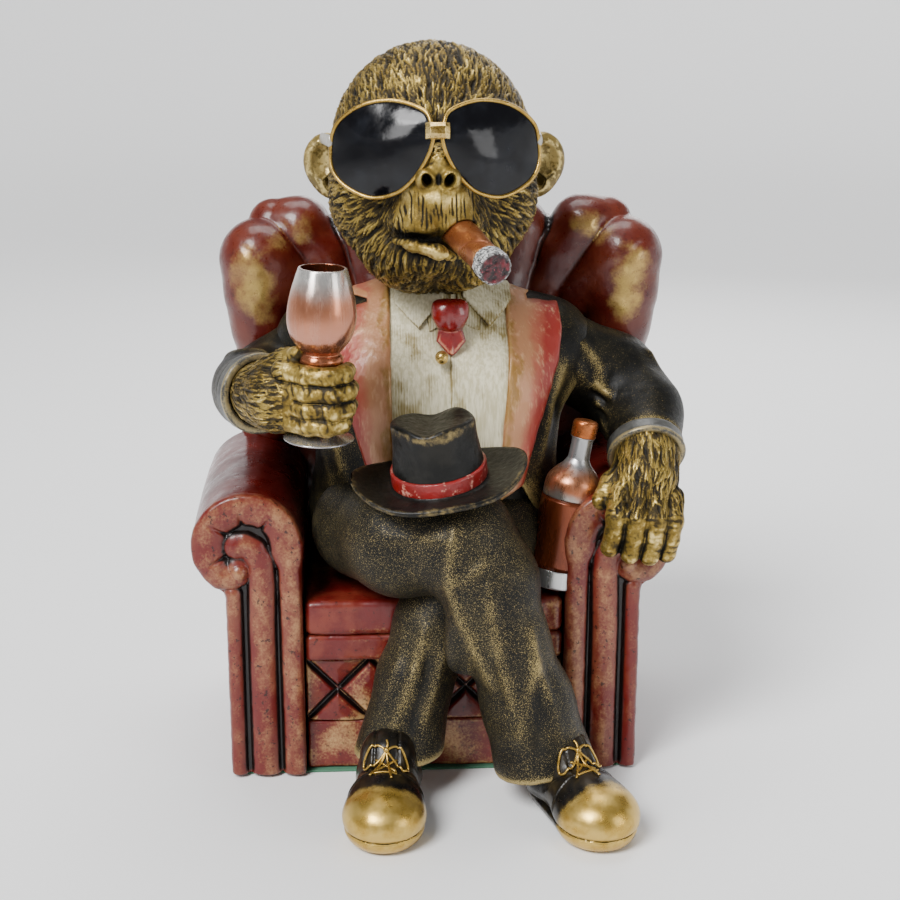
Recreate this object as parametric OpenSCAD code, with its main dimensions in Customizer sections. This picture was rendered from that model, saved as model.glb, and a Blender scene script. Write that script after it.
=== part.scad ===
// Seated ape gentleman in a scroll-arm armchair: a cold-painted resin statuette.
// Millimetres. +Z up, the figure faces -Y, origin at the middle of the felt under the chair.
// Right and left are the figure's own: its right hand, at -X, holds the glass.

/* [Armchair] */
// Half the chair's width over the outer faces of the arms
chair_half_w = 92; // [88:1:96]
// Half the clear width between the arms
seat_half_w = 58; // [56:1:60]
// Depth of the chair from the arm fronts to the back panel
chair_d = 124; // [118:1:132]
// Height of the top of the seat cushion
seat_h = 84; // [82:1:86]
// Height of the scroll's centre on each arm
scroll_z = 111; // [108:1:113]
// Radius of the rolled arm
scroll_r = 24; // [22:1:25]

/* [Figure] */
// Radius of the cranium
head_r = 45; // [43:1:46]
// Thickness of the spectacle lenses
lens_t = 3; // [2:0.5:4]
// Width of one lens
lens_w = 41; // [38:1:43]
// Height of one lens
lens_h = 36; // [33:1:38]
// Width of each shoe
shoe_w = 35; // [32:1:36]
// Length of each shoe
shoe_l = 64; // [60:1:66]

/* [Props] */
// Diameter of the bottle
bottle_d = 25; // [22:1:26]
// Height of the bottle
bottle_h = 76; // [70:1:78]
// Height of the wine glass
glass_h = 72; // [70:1:74]
// Widest diameter of the glass
glass_d = 30; // [26:1:31]
// Radius of the hat's brim
brim_r = 32; // [28:1:33]
// Diameter of the cigar
cigar_d = 14; // [11:1:15]

/* [Construction] */
// Wall thickness of the hollow castings
wall = 5; // [4:0.5:6]
// Thickness of the felt under the chair and the shoes
felt_t = 1; // [0.5:0.5:1.5]
// Diameter of the steel dowels that hold the castings together
dowel_d = 4; // [3:0.5:5]

/* [Hidden] */

// Gap left round dowels, plugs and castings that are glued together.
fit_gap = 0.15;
front_y = -62;
back_y = front_y + chair_d;
z0 = felt_t;
cushion_z = seat_h - 16;
rail_z = cushion_z - 13;
plinth_z = 25;
facing_t = 4;
back_t = 20;
panel_y = front_y + 8;
arm_d = chair_d - back_t;

// Every rounded mass is a list of balls, [x, y, z, radius], wrapped in one skin.
torso_parts = [
    [[-46, -4, 188, 22], [3, -8, 200, 21]],
    [[52, -4, 186, 22], [3, -8, 200, 21]],
    [[-46, -4, 188, 22], [52, -4, 186, 22], [-20, -18, 172, 31], [26, -18, 170, 31]],
    [[-20, -18, 172, 31], [26, -18, 170, 31], [-14, -17, 130, 35], [20, -17, 128, 35]],
    [[-14, -17, 130, 35], [20, -17, 128, 35], [-28, -14, 106, 25], [32, -14, 106, 25]],
    [[-30, -16, 112, 25], [-36, -36, 106, 18]],
    [[34, -16, 112, 23], [38, -32, 106, 16]],
    [[3, -10, 205, 20], [3, -14, 226, 19]]
];
head_parts = [
    [[3, -12, 324 - head_r, head_r], [3, -2, 272, head_r - 4]],
    [[3, 2, 262, 36], [3, -4, 244, 24]],
    [[-16, -38, 290, 17], [22, -38, 289, 17], [3, -20, 300, 20]],
    [[-20, -22, 258, 24], [-10, -28, 243, 20], [3, -12, 270, 40]],
    [[26, -22, 258, 24], [16, -28, 243, 20], [3, -12, 270, 40]],
    [[3, -36, 266, 22], [-6, -50, 258, 20], [12, -50, 258, 20], [3, -38, 250, 24]],
    [[-8, -38, 238, 19], [14, -38, 238, 19], [3, -16, 248, 28]],
    [[3, -60, 282, 7], [-2, -67, 272, 5], [8, -67, 272, 5]]
];

right_arm = [[-50, -4, 186, 21], [-74, 0, 168, 18], [-79, -30, 172, 16.5], [-78, -48, 178, 15]];
left_arm = [[56, -4, 184, 21], [87, 2, 168, 18], [96, -18, 157, 17], [97, -31, 150, 15.5]];
right_wrist = [-76, -54, 179];
left_wrist = [96, -36, 147];
right_cuff_to = right_wrist + [9, -19, 2];
left_cuff_to = left_wrist + [0, -14, -8];
cuff_r = 16.5;
cuff_l = 7;
cuff_t = 3;

// Crossed legs: the right thigh lies over the left one.
right_leg = [[-32, -40, 113, 25], [-12, -72, 118, 25], [18, -86, 122, 21], [26, -91, 98, 19.5],
    [33, -91, 66, 19], [44, -88, 34, 20]];
left_leg = [[30, -38, 108, 22], [14, -62, 106, 20], [-2, -66, 72, 17], [-11, -71, 50, 16],
    [-18, -77, 30, 17]];
hem_z = 18;

// Each shoe: its heel on the ground, and the turn of its toe about +Z.
right_shoe_at = [47, -80];
right_shoe_turn = 24;
left_shoe_at = [-19, -72];
left_shoe_turn = -5;
toe_r = shoe_w / 2;
sole_t = 4;

glass_at = [-49, -85, 167];
glass_tilt = 2.5;
hat_at = [-1, -81, 143.5];
hat_tilt = [7, -7, 0];
bottle_at = [53, -50, seat_h];
bottle_tilt = [-4, 11, 0];
mouth = [9, -60, 250];
cigar_tip = [22, -104, 241];
cigar_l = norm(cigar_tip - mouth);
ash_l = 8;

neck_dowel = [[3, -14, 196], [3, -14, 218]];
right_wrist_dowel = [[-79, -46, 178], [-71, -66, 180]];
left_wrist_dowel = [[97, -28, 150], [95, -44, 142]];
hat_dowel = [[-1, -81, 132], [-1, -81, 153]];
// An ankle dowel stands this far in front of the heel.
ankle_in = 0.55 * shoe_w;
function ankle_dowel(at, turn) =
    [for (z = [10, 34]) [at[0] + sin(turn) * ankle_in, at[1] - cos(turn) * ankle_in, z]];
right_ankle_dowel = ankle_dowel(right_shoe_at, right_shoe_turn);
left_ankle_dowel = ankle_dowel(left_shoe_at, left_shoe_turn);

// ---- shared shapes ----

function ball_fn(r) = r > 14 ? 20 : r > 8 ? 16 : 12;

module ball(b, grow = 0) {
    translate([b[0], b[1], b[2]]) sphere(r = b[3] + grow, $fn = ball_fn(b[3]));
}

// One skin over a group of balls.
module blob(balls, grow = 0) {
    hull() for (b = balls) ball(b, grow);
}

// A limb: each ball is joined to the next one.
module chain(balls, grow = 0) {
    for (i = [0 : len(balls) - 2]) blob([balls[i], balls[i + 1]], grow);
}

// Turns children so that their +Z runs from point a towards point b.
module along(a, b) {
    d = b - a;
    translate(a) rotate([0, acos(d[2] / norm(d)), atan2(d[1], d[0])]) children();
}

module rounded_rect(w, d, r) {
    offset(r = r, $fn = 32) square([w - 2 * r, d - 2 * r], center = true);
}

// An outline drawn in X and Z, made t thick, its rear face at y.
module upright(y, t) {
    translate([0, y, 0]) rotate([90, 0, 0]) linear_extrude(t) children();
}

module mirror_if(flip) {
    mirror([flip ? 1 : 0, 0, 0]) children();
}

module both_sides() {
    for (flip = [false, true]) mirror_if(flip) children();
}

module dowel(ends, grow = 0) {
    along(ends[0], ends[1]) translate([0, 0, -grow])
        cylinder(h = norm(ends[1] - ends[0]) + 2 * grow, d = dowel_d + 2 * grow, $fn = 32);
}

// ---- armchair ----

module chair_felt() {
    color("darkgreen") translate([0, front_y + chair_d / 2, 0])
        linear_extrude(felt_t) rounded_rect(2 * chair_half_w - 8, chair_d - 8, 6);
}

// The arm seen from the front, on the figure's left: an upright with a roll on its outer side.
module arm_outline(grow = 0) {
    translate([seat_half_w - grow, z0]) square([chair_half_w - seat_half_w + 2 * grow, scroll_z - z0]);
    translate([chair_half_w - 10, scroll_z]) circle(r = scroll_r + grow, $fn = 48);
}

module arm_body() {
    upright(back_y - back_t, arm_d - facing_t) arm_outline();
}

// The room both arms take up, facings included.
module arm_space() {
    both_sides() upright(back_y - back_t + fit_gap, arm_d + 2 * fit_gap) arm_outline(fit_gap);
}

module arm_cavity(grow = 0, low = 1, h = scroll_z) {
    translate([seat_half_w + 3 * wall - grow, front_y + facing_t + wall - grow, z0 - low])
        cube([chair_half_w - seat_half_w - 4 * wall + 2 * grow, arm_d - facing_t - 2 * wall + 2 * grow, h]);
}

module armrest(flip) {
    color("firebrick") difference() {
        mirror_if(flip) difference() {
            arm_body();
            arm_cavity();
        }
        bottle_space();
    }
}

// Carved front of the arm: a scroll groove over two upright flutes.
module arm_facing(flip) {
    groove = 1.6;
    scroll_x = chair_half_w - 10;
    color("rosybrown") mirror_if(flip) difference() {
        upright(front_y + facing_t, facing_t - fit_gap) difference() {
            arm_outline(-1);
            translate([scroll_x, scroll_z]) difference() {
                circle(r = scroll_r - 9, $fn = 48);
                circle(r = scroll_r - 9 - groove, $fn = 48);
                translate([-scroll_r, -scroll_r]) square([2 * scroll_r, scroll_r]);
            }
        }
        for (x = [seat_half_w + 9, chair_half_w - 8])
            translate([x, front_y - 1, z0 - 1]) cube([groove, 3, scroll_z - z0]);
    }
}

module seat_strip(y, t, low, high) {
    translate([-seat_half_w + fit_gap, y, low]) cube([2 * (seat_half_w - fit_gap), t, high - low]);
}

module seat_cavity(grow = 0, low = 1, h = cushion_z - z0 - wall) {
    translate([-seat_half_w + wall - grow, panel_y + 4 + wall - grow, z0 - low])
        cube([2 * (seat_half_w - wall + grow), arm_d - 12 - 2 * wall + 2 * grow, h]);
}

module seat_box() {
    color("brown") difference() {
        seat_strip(panel_y + 4, arm_d - 12, z0, cushion_z);
        seat_cavity();
    }
}

module plinth() {
    color("firebrick") seat_strip(panel_y - 1, 5 - fit_gap, z0, plinth_z);
}

module front_rail() {
    color("indianred") seat_strip(panel_y - 4, 8 - fit_gap, rail_z, cushion_z);
}

// Buttoned leather between plinth and rail: crossing grooves, stopped short of the edges, leave diamonds.
module tufted_panel() {
    high = rail_z - plinth_z;
    pitch = seat_half_w / 2;
    groove = 2;
    groove_l = 0.9 * norm([pitch, high]);
    color("indianred") difference() {
        seat_strip(panel_y - 2, 6 - fit_gap, plinth_z, rail_z);
        for (i = [-1.5 : 1 : 1.5], lean = [-1, 1])
            translate([i * pitch, panel_y - 2, plinth_z + high / 2])
                rotate([0, lean * atan2(pitch, high), 0])
                cube([groove, groove + 0.4 * lean, groove_l], center = true);
    }
}

// The cushion overhangs the rail, and its front edge is bevelled.
module seat_cushion() {
    bevel = 4;
    color("firebrick") difference() {
        seat_strip(panel_y - 5, arm_d - 3 - fit_gap, cushion_z, seat_h);
        translate([0, panel_y - 5, seat_h]) rotate([45, 0, 0])
            cube([2 * seat_half_w + 2, bevel, bevel], center = true);
    }
}

// Boards let into the open undersides of the castings.
module underside_plugs() {
    color("tan") {
        both_sides() arm_cavity(-fit_gap, 0, 3);
        seat_cavity(-fit_gap, 0, 3);
        back_cavity(-fit_gap, 0, 3);
    }
}

// The back: upright padded lobes, the outer ones forming wings, on a flat panel.
back_shift = 8;
back_lobes = [
    [[0, 40, 231, 17], [0, 38, 180, 16]],
    [[38, 40, 231, 17], [28, 38, 186, 15]],
    [[66, 38, 228, 19], [50, 34, 180, 14]],
    [[85, 33, 214, 20], [80, 28, 160, 15]]
];
back_panel = [[60, 44, 230, 17], [82, 44, 206, 17], [74, 44, 140, 16]];

module back_cavity(grow = 0, low = 1, h = 190) {
    translate([-62 - grow, back_y - back_t + wall - grow, z0 - low])
        cube([124 + 2 * grow, 10 + 2 * grow, h]);
}

module chair_back() {
    color("firebrick") difference() {
        union() {
            translate([back_shift, 0, 0]) {
                both_sides() for (lobe = back_lobes) blob(lobe);
                hull() both_sides() for (b = back_panel) ball(b);
            }
            translate([-chair_half_w + 2, back_y - back_t, z0]) cube([2 * chair_half_w - 4, back_t, 140]);
        }
        back_cavity();
        figure_space();
        arm_space();
        translate([0, -1, 0]) seat_strip(panel_y - 5, arm_d - 2, z0 - 1, seat_h + fit_gap);
    }
}

// The room the seated figure takes up in the upholstery.
module figure_space() {
    torso_shape(fit_gap);
    chain(right_arm, fit_gap);
    chain(left_arm, fit_gap);
    head_shape(fit_gap);
}

// ---- figure: torso and clothes ----

module torso_shape(grow = 0) {
    for (part = torso_parts) blob(part, grow);
}

// A painted layer of clothing: from one depth to another over the torso, inside an outline in X and Z.
module cloth_layer(outline, from, to) {
    difference() {
        intersection() {
            torso_shape(to);
            upright(-12, 80) polygon(outline);
        }
        torso_shape(from);
    }
}

module torso() {
    color("darkslategray") difference() {
        torso_shape();
        translate([-100, -100, 0]) cube([200, 200, seat_h + fit_gap]);
        for (i = [3, 4]) blob(torso_parts[i], -2 * wall);
        translate([-20, -32, seat_h - 1]) cube([44, 34, 20]);
        dowel(neck_dowel, fit_gap);
        lap_space();
        arm_space();
    }
}

shirt_outline = [[-17, 218], [-19, 190], [-18, 136], [24, 136], [30, 190], [30, 218]];
right_lapel_outline = [[-17, 222], [-33, 214], [-26, 212], [-39, 206], [-40, 190], [-33, 160], [-26, 138],
    [-18, 138], [-19, 190]];
left_lapel_outline = [[28, 222], [49, 217], [42, 213], [56, 208], [56, 190], [46, 160], [36, 138],
    [24, 138],
    [30, 190]];
shirt_t = 1.4;
lapel_t = 3;

module shirt_front() {
    color("antiquewhite") difference() {
        cloth_layer(shirt_outline, fit_gap, shirt_t);
        collar_shape(fit_gap);
        tie_shape(fit_gap);
        button_shape(fit_gap);
        lap_space();
        head_shape(fit_gap);
    }
}

module lapel(outline) {
    color("indianred") difference() {
        cloth_layer(outline, fit_gap, lapel_t);
        cloth_layer(shirt_outline, -1, shirt_t + fit_gap);
        head_shape(fit_gap);
        collar_shape(fit_gap);
        chain(right_arm, fit_gap);
        chain(left_arm, fit_gap);
        lap_space();
    }
}

module collar_shape(grow = 0) {
    translate([4, 0, 0]) both_sides()
        blob([[3, -38, 219, 2], [17, -31, 222, 2], [13, -48, 206, 2], [19, -40, 211, 2]], grow);
}

module shirt_collar() {
    color("beige") difference() {
        collar_shape();
        torso_shape(fit_gap);
        head_shape(fit_gap);
        tie_shape(fit_gap);
    }
}

module tie_shape(grow = 0) {
    blob([[3, -50, 214, 3], [13, -50, 214, 3], [8, -51, 208, 3]], grow);
    blob([[5, -50, 205, 2.4], [11, -50, 205, 2.4], [8, -53, 196, 2]], grow);
}

module necktie() {
    color("crimson") difference() {
        tie_shape();
        torso_shape(fit_gap);
        head_shape(fit_gap);
    }
}

module button_shape(grow = 0) {
    translate([4, -48, 193]) rotate([90, 0, 0]) cylinder(h = 6, r = 2.4 + grow, $fn = 24);
}

module shirt_button() {
    color("gold") difference() {
        button_shape();
        torso_shape(fit_gap);
    }
}

// The sleeve stops at the wrist, where the cuff begins.
module sleeve(arm, wrist, toward) {
    color("darkslategray") difference() {
        chain(arm);
        torso_shape(fit_gap);
        arm_space();
        along(wrist, toward) cylinder(h = 30, r = 30, $fn = 32);
    }
}

module cuff(wrist, toward) {
    color("gray") along(wrist, toward) translate([0, 0, fit_gap])
        rotate_extrude($fn = 48) translate([cuff_r - cuff_t, 0]) square([cuff_t, cuff_l]);
}

// ---- head ----

module head_shape(grow = 0) {
    for (part = head_parts) blob(part, grow);
}

module head() {
    color("darkkhaki") difference() {
        head_shape();
        blob(head_parts[0], -2 * wall);
        translate([3, -12, 205]) cylinder(h = 60, r = 11, $fn = 32);
        blob(torso_parts[7], fit_gap);
        blob(torso_parts[2], fit_gap);
        cigar_space();
    }
}

module ear_shape(side, grow = 0) {
    translate([3, -4, 271]) mirror_if(side < 0)
        blob([[44, 0, -7, 5], [46, 0, 6, 6], [51, -2, 9, 5], [52, -2, 2, 4]], grow);
}

module ear(side) {
    color("olive") difference() {
        ear_shape(side);
        head_shape(fit_gap);
        blob([[3 + side * 54, -13, 276, 5], [3 + side * 51, -13, 268, 4]]);
    }
}

// One lens as worn on the figure's left: full at the outer side, cut away towards the nose.
module lens_outline(grow = 0) {
    hull() {
        translate([lens_w / 2 - 16, lens_h / 2 - 16]) circle(r = 16 + grow, $fn = 48);
        translate([lens_w / 2 - 17, -lens_h / 2 + 13]) circle(r = 13 + grow, $fn = 48);
        translate([-lens_w / 2 + 3, lens_h / 2 - 12]) circle(r = 3 + grow, $fn = 32);
    }
}

module on_lens(side) {
    translate([3 + side * 22, -64, 283.5])
        mirror_if(side < 0) rotate([-3, 0, 14]) rotate([90, 0, 0]) children();
}

module lens(side) {
    dome_r = 38;
    color("black") difference() {
        on_lens(side) intersection() {
            translate([0, 0, -lens_t]) linear_extrude(3 * lens_t) lens_outline(-fit_gap);
            translate([0, 0, 4 - dome_r]) sphere(r = dome_r, $fn = 40);
        }
        head_shape(fit_gap);
    }
}

module spectacle_frame() {
    rim = 1.8;
    color("gold") difference() {
        for (side = [-1, 1]) on_lens(side) linear_extrude(lens_t, center = true) difference() {
            lens_outline(rim);
            lens_outline();
        }
        head_shape(fit_gap);
        bridge_shape(fit_gap);
    }
}

module bridge_shape(grow = 0) {
    translate([3, -69, 292]) cube([11 + 2 * grow, 6 + 2 * grow, 7 + 2 * grow], center = true);
}

module spectacle_bridge() {
    color("goldenrod") difference() {
        bridge_shape();
        head_shape(fit_gap);
    }
}

// The side piece runs back from the frame to the top of the ear.
module temple(side) {
    color("silver") difference() {
        hull() {
            translate([3 + side * 45, -50, 289]) cube([2.4, 2, 6], center = true);
            translate([3 + side * 48, -8, 286]) cube([2.4, 2, 6], center = true);
        }
        head_shape(fit_gap);
        ear_shape(side, fit_gap);
        on_lens(side) linear_extrude(lens_t + 2 * fit_gap, center = true) lens_outline(2);
    }
}

module cigar_rod(from, to, grow = 0) {
    along(mouth, cigar_tip) translate([0, 0, from])
        cylinder(h = to - from, r = cigar_d / 2 + grow, $fn = 48);
}

module cigar_space() {
    cigar_rod(-1, cigar_l, fit_gap);
}

module cigar() {
    color("sienna") cigar_rod(0, cigar_l - ash_l);
}

module cigar_ash() {
    color("gainsboro") cigar_rod(cigar_l - ash_l, cigar_l, 0.4);
}

// ---- hands ----

// Keeps a hand in front of its wrist and inside its cuff.
module cuff_space(wrist, toward) {
    along(wrist, toward) {
        translate([0, 0, -30]) cylinder(h = 30 + fit_gap, r = 30, $fn = 32);
        difference() {
            cylinder(h = cuff_l + 2 * fit_gap, r = 30, $fn = 32);
            translate([0, 0, -1]) cylinder(h = cuff_l + 2, r = cuff_r - cuff_t - fit_gap, $fn = 32);
        }
    }
}

// The right fist closes round the stem of the glass: four fingers, one above the other.
module right_hand() {
    finger_top = 196;
    finger_gap = 8.2;
    color("darkkhaki") difference() {
        union() {
            blob([[-75, -57, 179, 13], [-64, -80, 185, 14]]);
            blob([[-64, -80, 185, 14], [-58, -85, 184, 12.5]]);
            for (i = [0 : 3]) {
                z = finger_top - i * finger_gap;
                chain([[-62, -90, z, 5.4], [-43, -97, z, 5.2], [-38, -89, z, 4.8], [-43, -80, z, 4.6]]);
            }
            chain([[-66, -74, 193, 7], [-60, -78, 202, 5.5]]);
        }
        glass_solid(fit_gap);
        cuff_space(right_wrist, right_cuff_to);
        dowel(right_wrist_dowel, fit_gap);
    }
}

left_knuckles = [[83, -62, 133], [91, -64, 135], [99, -63, 134], [106, -60, 131]];
left_tips = [[75, -73, 112], [84.5, -74, 109], [95, -73, 108], [104, -70, 110]];

// The left hand lies on the arm, its fingers hanging over the front of the roll.
module left_hand() {
    color("darkkhaki") difference() {
        union() {
            blob([[96, -38, 146, 13], [95, -54, 140, 13], [89, -56, 138, 12]]);
            for (i = [0 : 3]) {
                bend = (left_knuckles[i] + left_tips[i]) / 2 + [0, -5, 4];
                chain([concat(left_knuckles[i], 5.8), concat(bend, 5.2), concat(left_tips[i], 4.8)]);
            }
            chain([[86, -46, 140, 6], [75, -56, 134, 5.2]]);
        }
        arm_space();
        bottle_space();
        cuff_space(left_wrist, left_cuff_to);
        dowel(left_wrist_dowel, fit_gap);
    }
}

// ---- glass, hat and bottle ----

glass_foot_r = 14;
glass_r = glass_d / 2;
rim_r = glass_r - 3.8;
glass_outer = [[0, 0], [glass_foot_r, 0], [glass_foot_r, 1.2], [5, 3.4], [2.6, 7], [2.4, 28], [4.5, 31.5],
    [9, 33], [9, 35.5], [7.5, 37], [12.2, 42], [glass_r - 0.4, 47], [glass_r, 52], [glass_r - 0.4, 57],
    [glass_r - 1.6, 63], [rim_r, glass_h], [0, glass_h]];
glass_inner = [[0, 48], [8, 49], [glass_r - 3, 53], [glass_r - 2.4, 57], [glass_r - 3.6, 63],
    [rim_r - 1.6, glass_h + 1], [0, glass_h + 1]];

module in_hand() {
    translate(glass_at) rotate([0, glass_tilt, 0]) children();
}

module glass_solid(grow = 0) {
    in_hand() rotate_extrude($fn = 48) intersection() {
        offset(delta = grow) polygon(glass_outer);
        translate([0, -1]) square([glass_d, glass_h + 2]);
    }
}

module wine_glass() {
    color("rosybrown") in_hand() rotate_extrude($fn = 48) difference() {
        polygon(glass_outer);
        polygon(glass_inner);
    }
}

module on_lap() {
    translate(hat_at) rotate(hat_tilt) children();
}

band_r = 20;
hat_outline = [[0, 0], [brim_r - 2, 0.4], [brim_r, 2], [brim_r - 1, 4], [brim_r - 5, 2.8], [band_r, 2.6],
    [band_r - 0.6, 10], [band_r - 2, 26], [band_r - 4, 29.5], [8, 27.5], [0, 27]];

module hat() {
    color("dimgray") difference() {
        on_lap() rotate_extrude($fn = 64) polygon(hat_outline);
        dowel(hat_dowel, fit_gap);
    }
}

module hat_band() {
    color("crimson") on_lap() translate([0, 0, 3]) rotate_extrude($fn = 64)
        translate([band_r + fit_gap, 0]) square([1.2, 6.4]);
}

bottle_r = bottle_d / 2;
shoulder_z = 0.62 * bottle_h;
neck_z = 0.76 * bottle_h;
cap_z = 0.9 * bottle_h;
label_z = 10;
label_h = 30;
bottle_outline = [[0, 0], [bottle_r - 1.5, 0], [bottle_r, 1.5], [bottle_r, shoulder_z],
    [bottle_r - 1.2, shoulder_z + 3], [5, neck_z - 1], [4.4, neck_z + 1], [4.4, cap_z], [0, cap_z]];

// The bottle leans on its edge against the arm.
module beside_leg() {
    translate(bottle_at) rotate(bottle_tilt) translate([0, 0, 3.4]) children();
}

module bottle() {
    color("lightslategray") beside_leg() difference() {
        rotate_extrude($fn = 64) polygon(bottle_outline);
        translate([0, 0, label_z])
            rotate_extrude($fn = 64) translate([bottle_r - 0.4, 0]) square([1, label_h]);
    }
}

module bottle_label() {
    color("chocolate") beside_leg() translate([0, 0, label_z + fit_gap]) rotate_extrude($fn = 64)
        translate([bottle_r - 0.4 + fit_gap, 0]) square([0.7, label_h - 2 * fit_gap]);
}

module bottle_cap() {
    color("peru") beside_leg()
        translate([0, 0, cap_z + fit_gap]) cylinder(h = bottle_h - cap_z, r = 5.2, $fn = 48);
}

module bottle_space() {
    beside_leg() {
        translate([0, 0, -fit_gap]) cylinder(h = shoulder_z + 3, r = bottle_r + 0.5, $fn = 48);
        translate([0, 0, shoulder_z]) cylinder(h = bottle_h - shoulder_z + 1, r = 7, $fn = 32);
    }
}

module hat_space() {
    on_lap() {
        translate([0, 0, -fit_gap]) cylinder(h = 4.6, r = brim_r + 0.5, $fn = 48);
        cylinder(h = 31, r = band_r + 2, $fn = 48);
    }
}

// ---- legs and shoes ----

// What the clothes must leave free for the crossed legs, the hat and the bottle.
module lap_space() {
    chain(right_leg, fit_gap);
    chain(left_leg, fit_gap);
    hat_space();
    bottle_space();
}

module trouser_leg(leg) {
    color("darkslategray") difference() {
        chain(leg);
        translate([0, -fit_gap, 0]) seat_strip(panel_y - 5, arm_d, z0 - 1, seat_h + fit_gap);
        arm_space();
        translate([-100, -160, 0]) cube([220, 160, hem_z]);
        hat_space();
        bottle_space();
        children();
    }
}

module on_ground(at, turn) {
    translate([at[0], at[1], z0]) rotate([0, 0, turn]) children();
}

module sole(at, turn) {
    color("darkgoldenrod") on_ground(at, turn) linear_extrude(sole_t) hull() {
        translate([0, 3 - toe_r]) circle(r = toe_r - 5, $fn = 32);
        translate([0, toe_r - shoe_l]) circle(r = toe_r - 0.5, $fn = 32);
    }
}

module shoe_shape(grow = 0) {
    hull() {
        ball([0, 4 - toe_r, 9, toe_r - 6.5], grow);
        ball([0, -toe_r - 2, 22, toe_r - 7], grow);
        ball([0, toe_r - shoe_l + 1, 8, toe_r - 1.5], grow);
    }
}

module shoe(at, turn, ankle) {
    color("goldenrod") difference() {
        on_ground(at, turn) intersection() {
            shoe_shape();
            translate([-50, -100, sole_t + fit_gap]) cube([100, 200, 60]);
        }
        chain(right_leg, fit_gap);
        chain(left_leg, fit_gap);
        dowel(ankle, fit_gap);
    }
}

// Three crossed turns of lace lying on the instep.
module laces(at, turn) {
    color("gold") difference() {
        on_ground(at, turn) intersection() {
            difference() {
                shoe_shape(1.3);
                shoe_shape(fit_gap);
            }
            for (i = [0 : 2], lean = [-30, 30])
                translate([0, -31 - 4 * i, 20]) rotate([0, 0, lean]) cube([13, 1.5, 30], center = true);
        }
        chain(right_leg, fit_gap);
        chain(left_leg, fit_gap);
    }
}

module shoe_felts() {
    for (place = [[right_shoe_at, right_shoe_turn], [left_shoe_at, left_shoe_turn]])
        color("darkgreen") translate([0, 0, -z0]) on_ground(place[0], place[1])
            translate([0, 4 - shoe_l / 2, 0]) cylinder(h = felt_t, r = 9, $fn = 48);
}

module dowels(all_ends) {
    color("silver") for (ends = all_ends) dowel(ends);
}

chair_felt();
underside_plugs();
seat_box();
seat_cushion();
front_rail();
tufted_panel();
plinth();
armrest(true);  // right_armrest
armrest(false);  // left_armrest
arm_facing(true);  // right_arm_facing
arm_facing(false);  // left_arm_facing
chair_back();
torso();
shirt_front();
shirt_collar();
necktie();
shirt_button();
lapel(right_lapel_outline);  // right_lapel
lapel(left_lapel_outline);  // left_lapel
head();
ear(-1);  // right_ear
ear(1);  // left_ear
spectacle_frame();
spectacle_bridge();
lens(-1);  // right_lens
lens(1);  // left_lens
temple(-1);  // right_temple
temple(1);  // left_temple
cigar();
cigar_ash();
sleeve(right_arm, right_wrist, right_cuff_to);  // right_sleeve
sleeve(left_arm, left_wrist, left_cuff_to);  // left_sleeve
cuff(right_wrist, right_cuff_to);  // right_cuff
cuff(left_wrist, left_cuff_to);  // left_cuff
right_hand();
left_hand();
wine_glass();
trouser_leg(right_leg);  // right_trouser_leg
trouser_leg(left_leg) chain(right_leg, fit_gap);  // left_trouser_leg
shoe(right_shoe_at, right_shoe_turn, right_ankle_dowel);  // right_shoe
shoe(left_shoe_at, left_shoe_turn, left_ankle_dowel);  // left_shoe
sole(right_shoe_at, right_shoe_turn);  // right_sole
sole(left_shoe_at, left_shoe_turn);  // left_sole
laces(right_shoe_at, right_shoe_turn);  // right_laces
laces(left_shoe_at, left_shoe_turn);  // left_laces
shoe_felts();
hat();
hat_band();
bottle();
bottle_label();
bottle_cap();
dowels([neck_dowel]);
dowels([right_wrist_dowel, left_wrist_dowel]);  // wrist_dowels
dowels([right_ankle_dowel, left_ankle_dowel]);  // ankle_dowels
dowels([hat_dowel]);
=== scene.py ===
"""Seated ape statuette: a cold-painted resin figure, sculpted from distance fields over the CAD frame.

Shapes are modelled in millimetres as fields that are negative inside; meshes are made in metres.
Right and left are the figure's own: its right hand, at -X, holds the glass.
"""
import math

import bpy
import numpy as np
from mathutils import Matrix, Vector


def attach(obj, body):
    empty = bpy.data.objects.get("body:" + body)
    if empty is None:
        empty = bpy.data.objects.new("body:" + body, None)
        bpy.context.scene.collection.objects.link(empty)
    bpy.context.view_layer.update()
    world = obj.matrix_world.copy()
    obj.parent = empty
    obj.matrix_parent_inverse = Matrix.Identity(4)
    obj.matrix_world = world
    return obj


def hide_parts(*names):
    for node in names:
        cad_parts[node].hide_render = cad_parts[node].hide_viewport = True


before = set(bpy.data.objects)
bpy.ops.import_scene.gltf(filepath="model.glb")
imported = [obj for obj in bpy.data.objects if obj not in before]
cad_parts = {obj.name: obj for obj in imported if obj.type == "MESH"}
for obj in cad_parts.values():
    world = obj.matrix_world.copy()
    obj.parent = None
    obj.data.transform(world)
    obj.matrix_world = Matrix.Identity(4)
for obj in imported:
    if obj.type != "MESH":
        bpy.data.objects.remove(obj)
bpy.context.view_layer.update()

MM = 0.001
F = np.float32
BATCH = 400000  # grid points evaluated at a time
SIDES = 96  # of a turned shape


# ---- camera, light and floor ----

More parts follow.
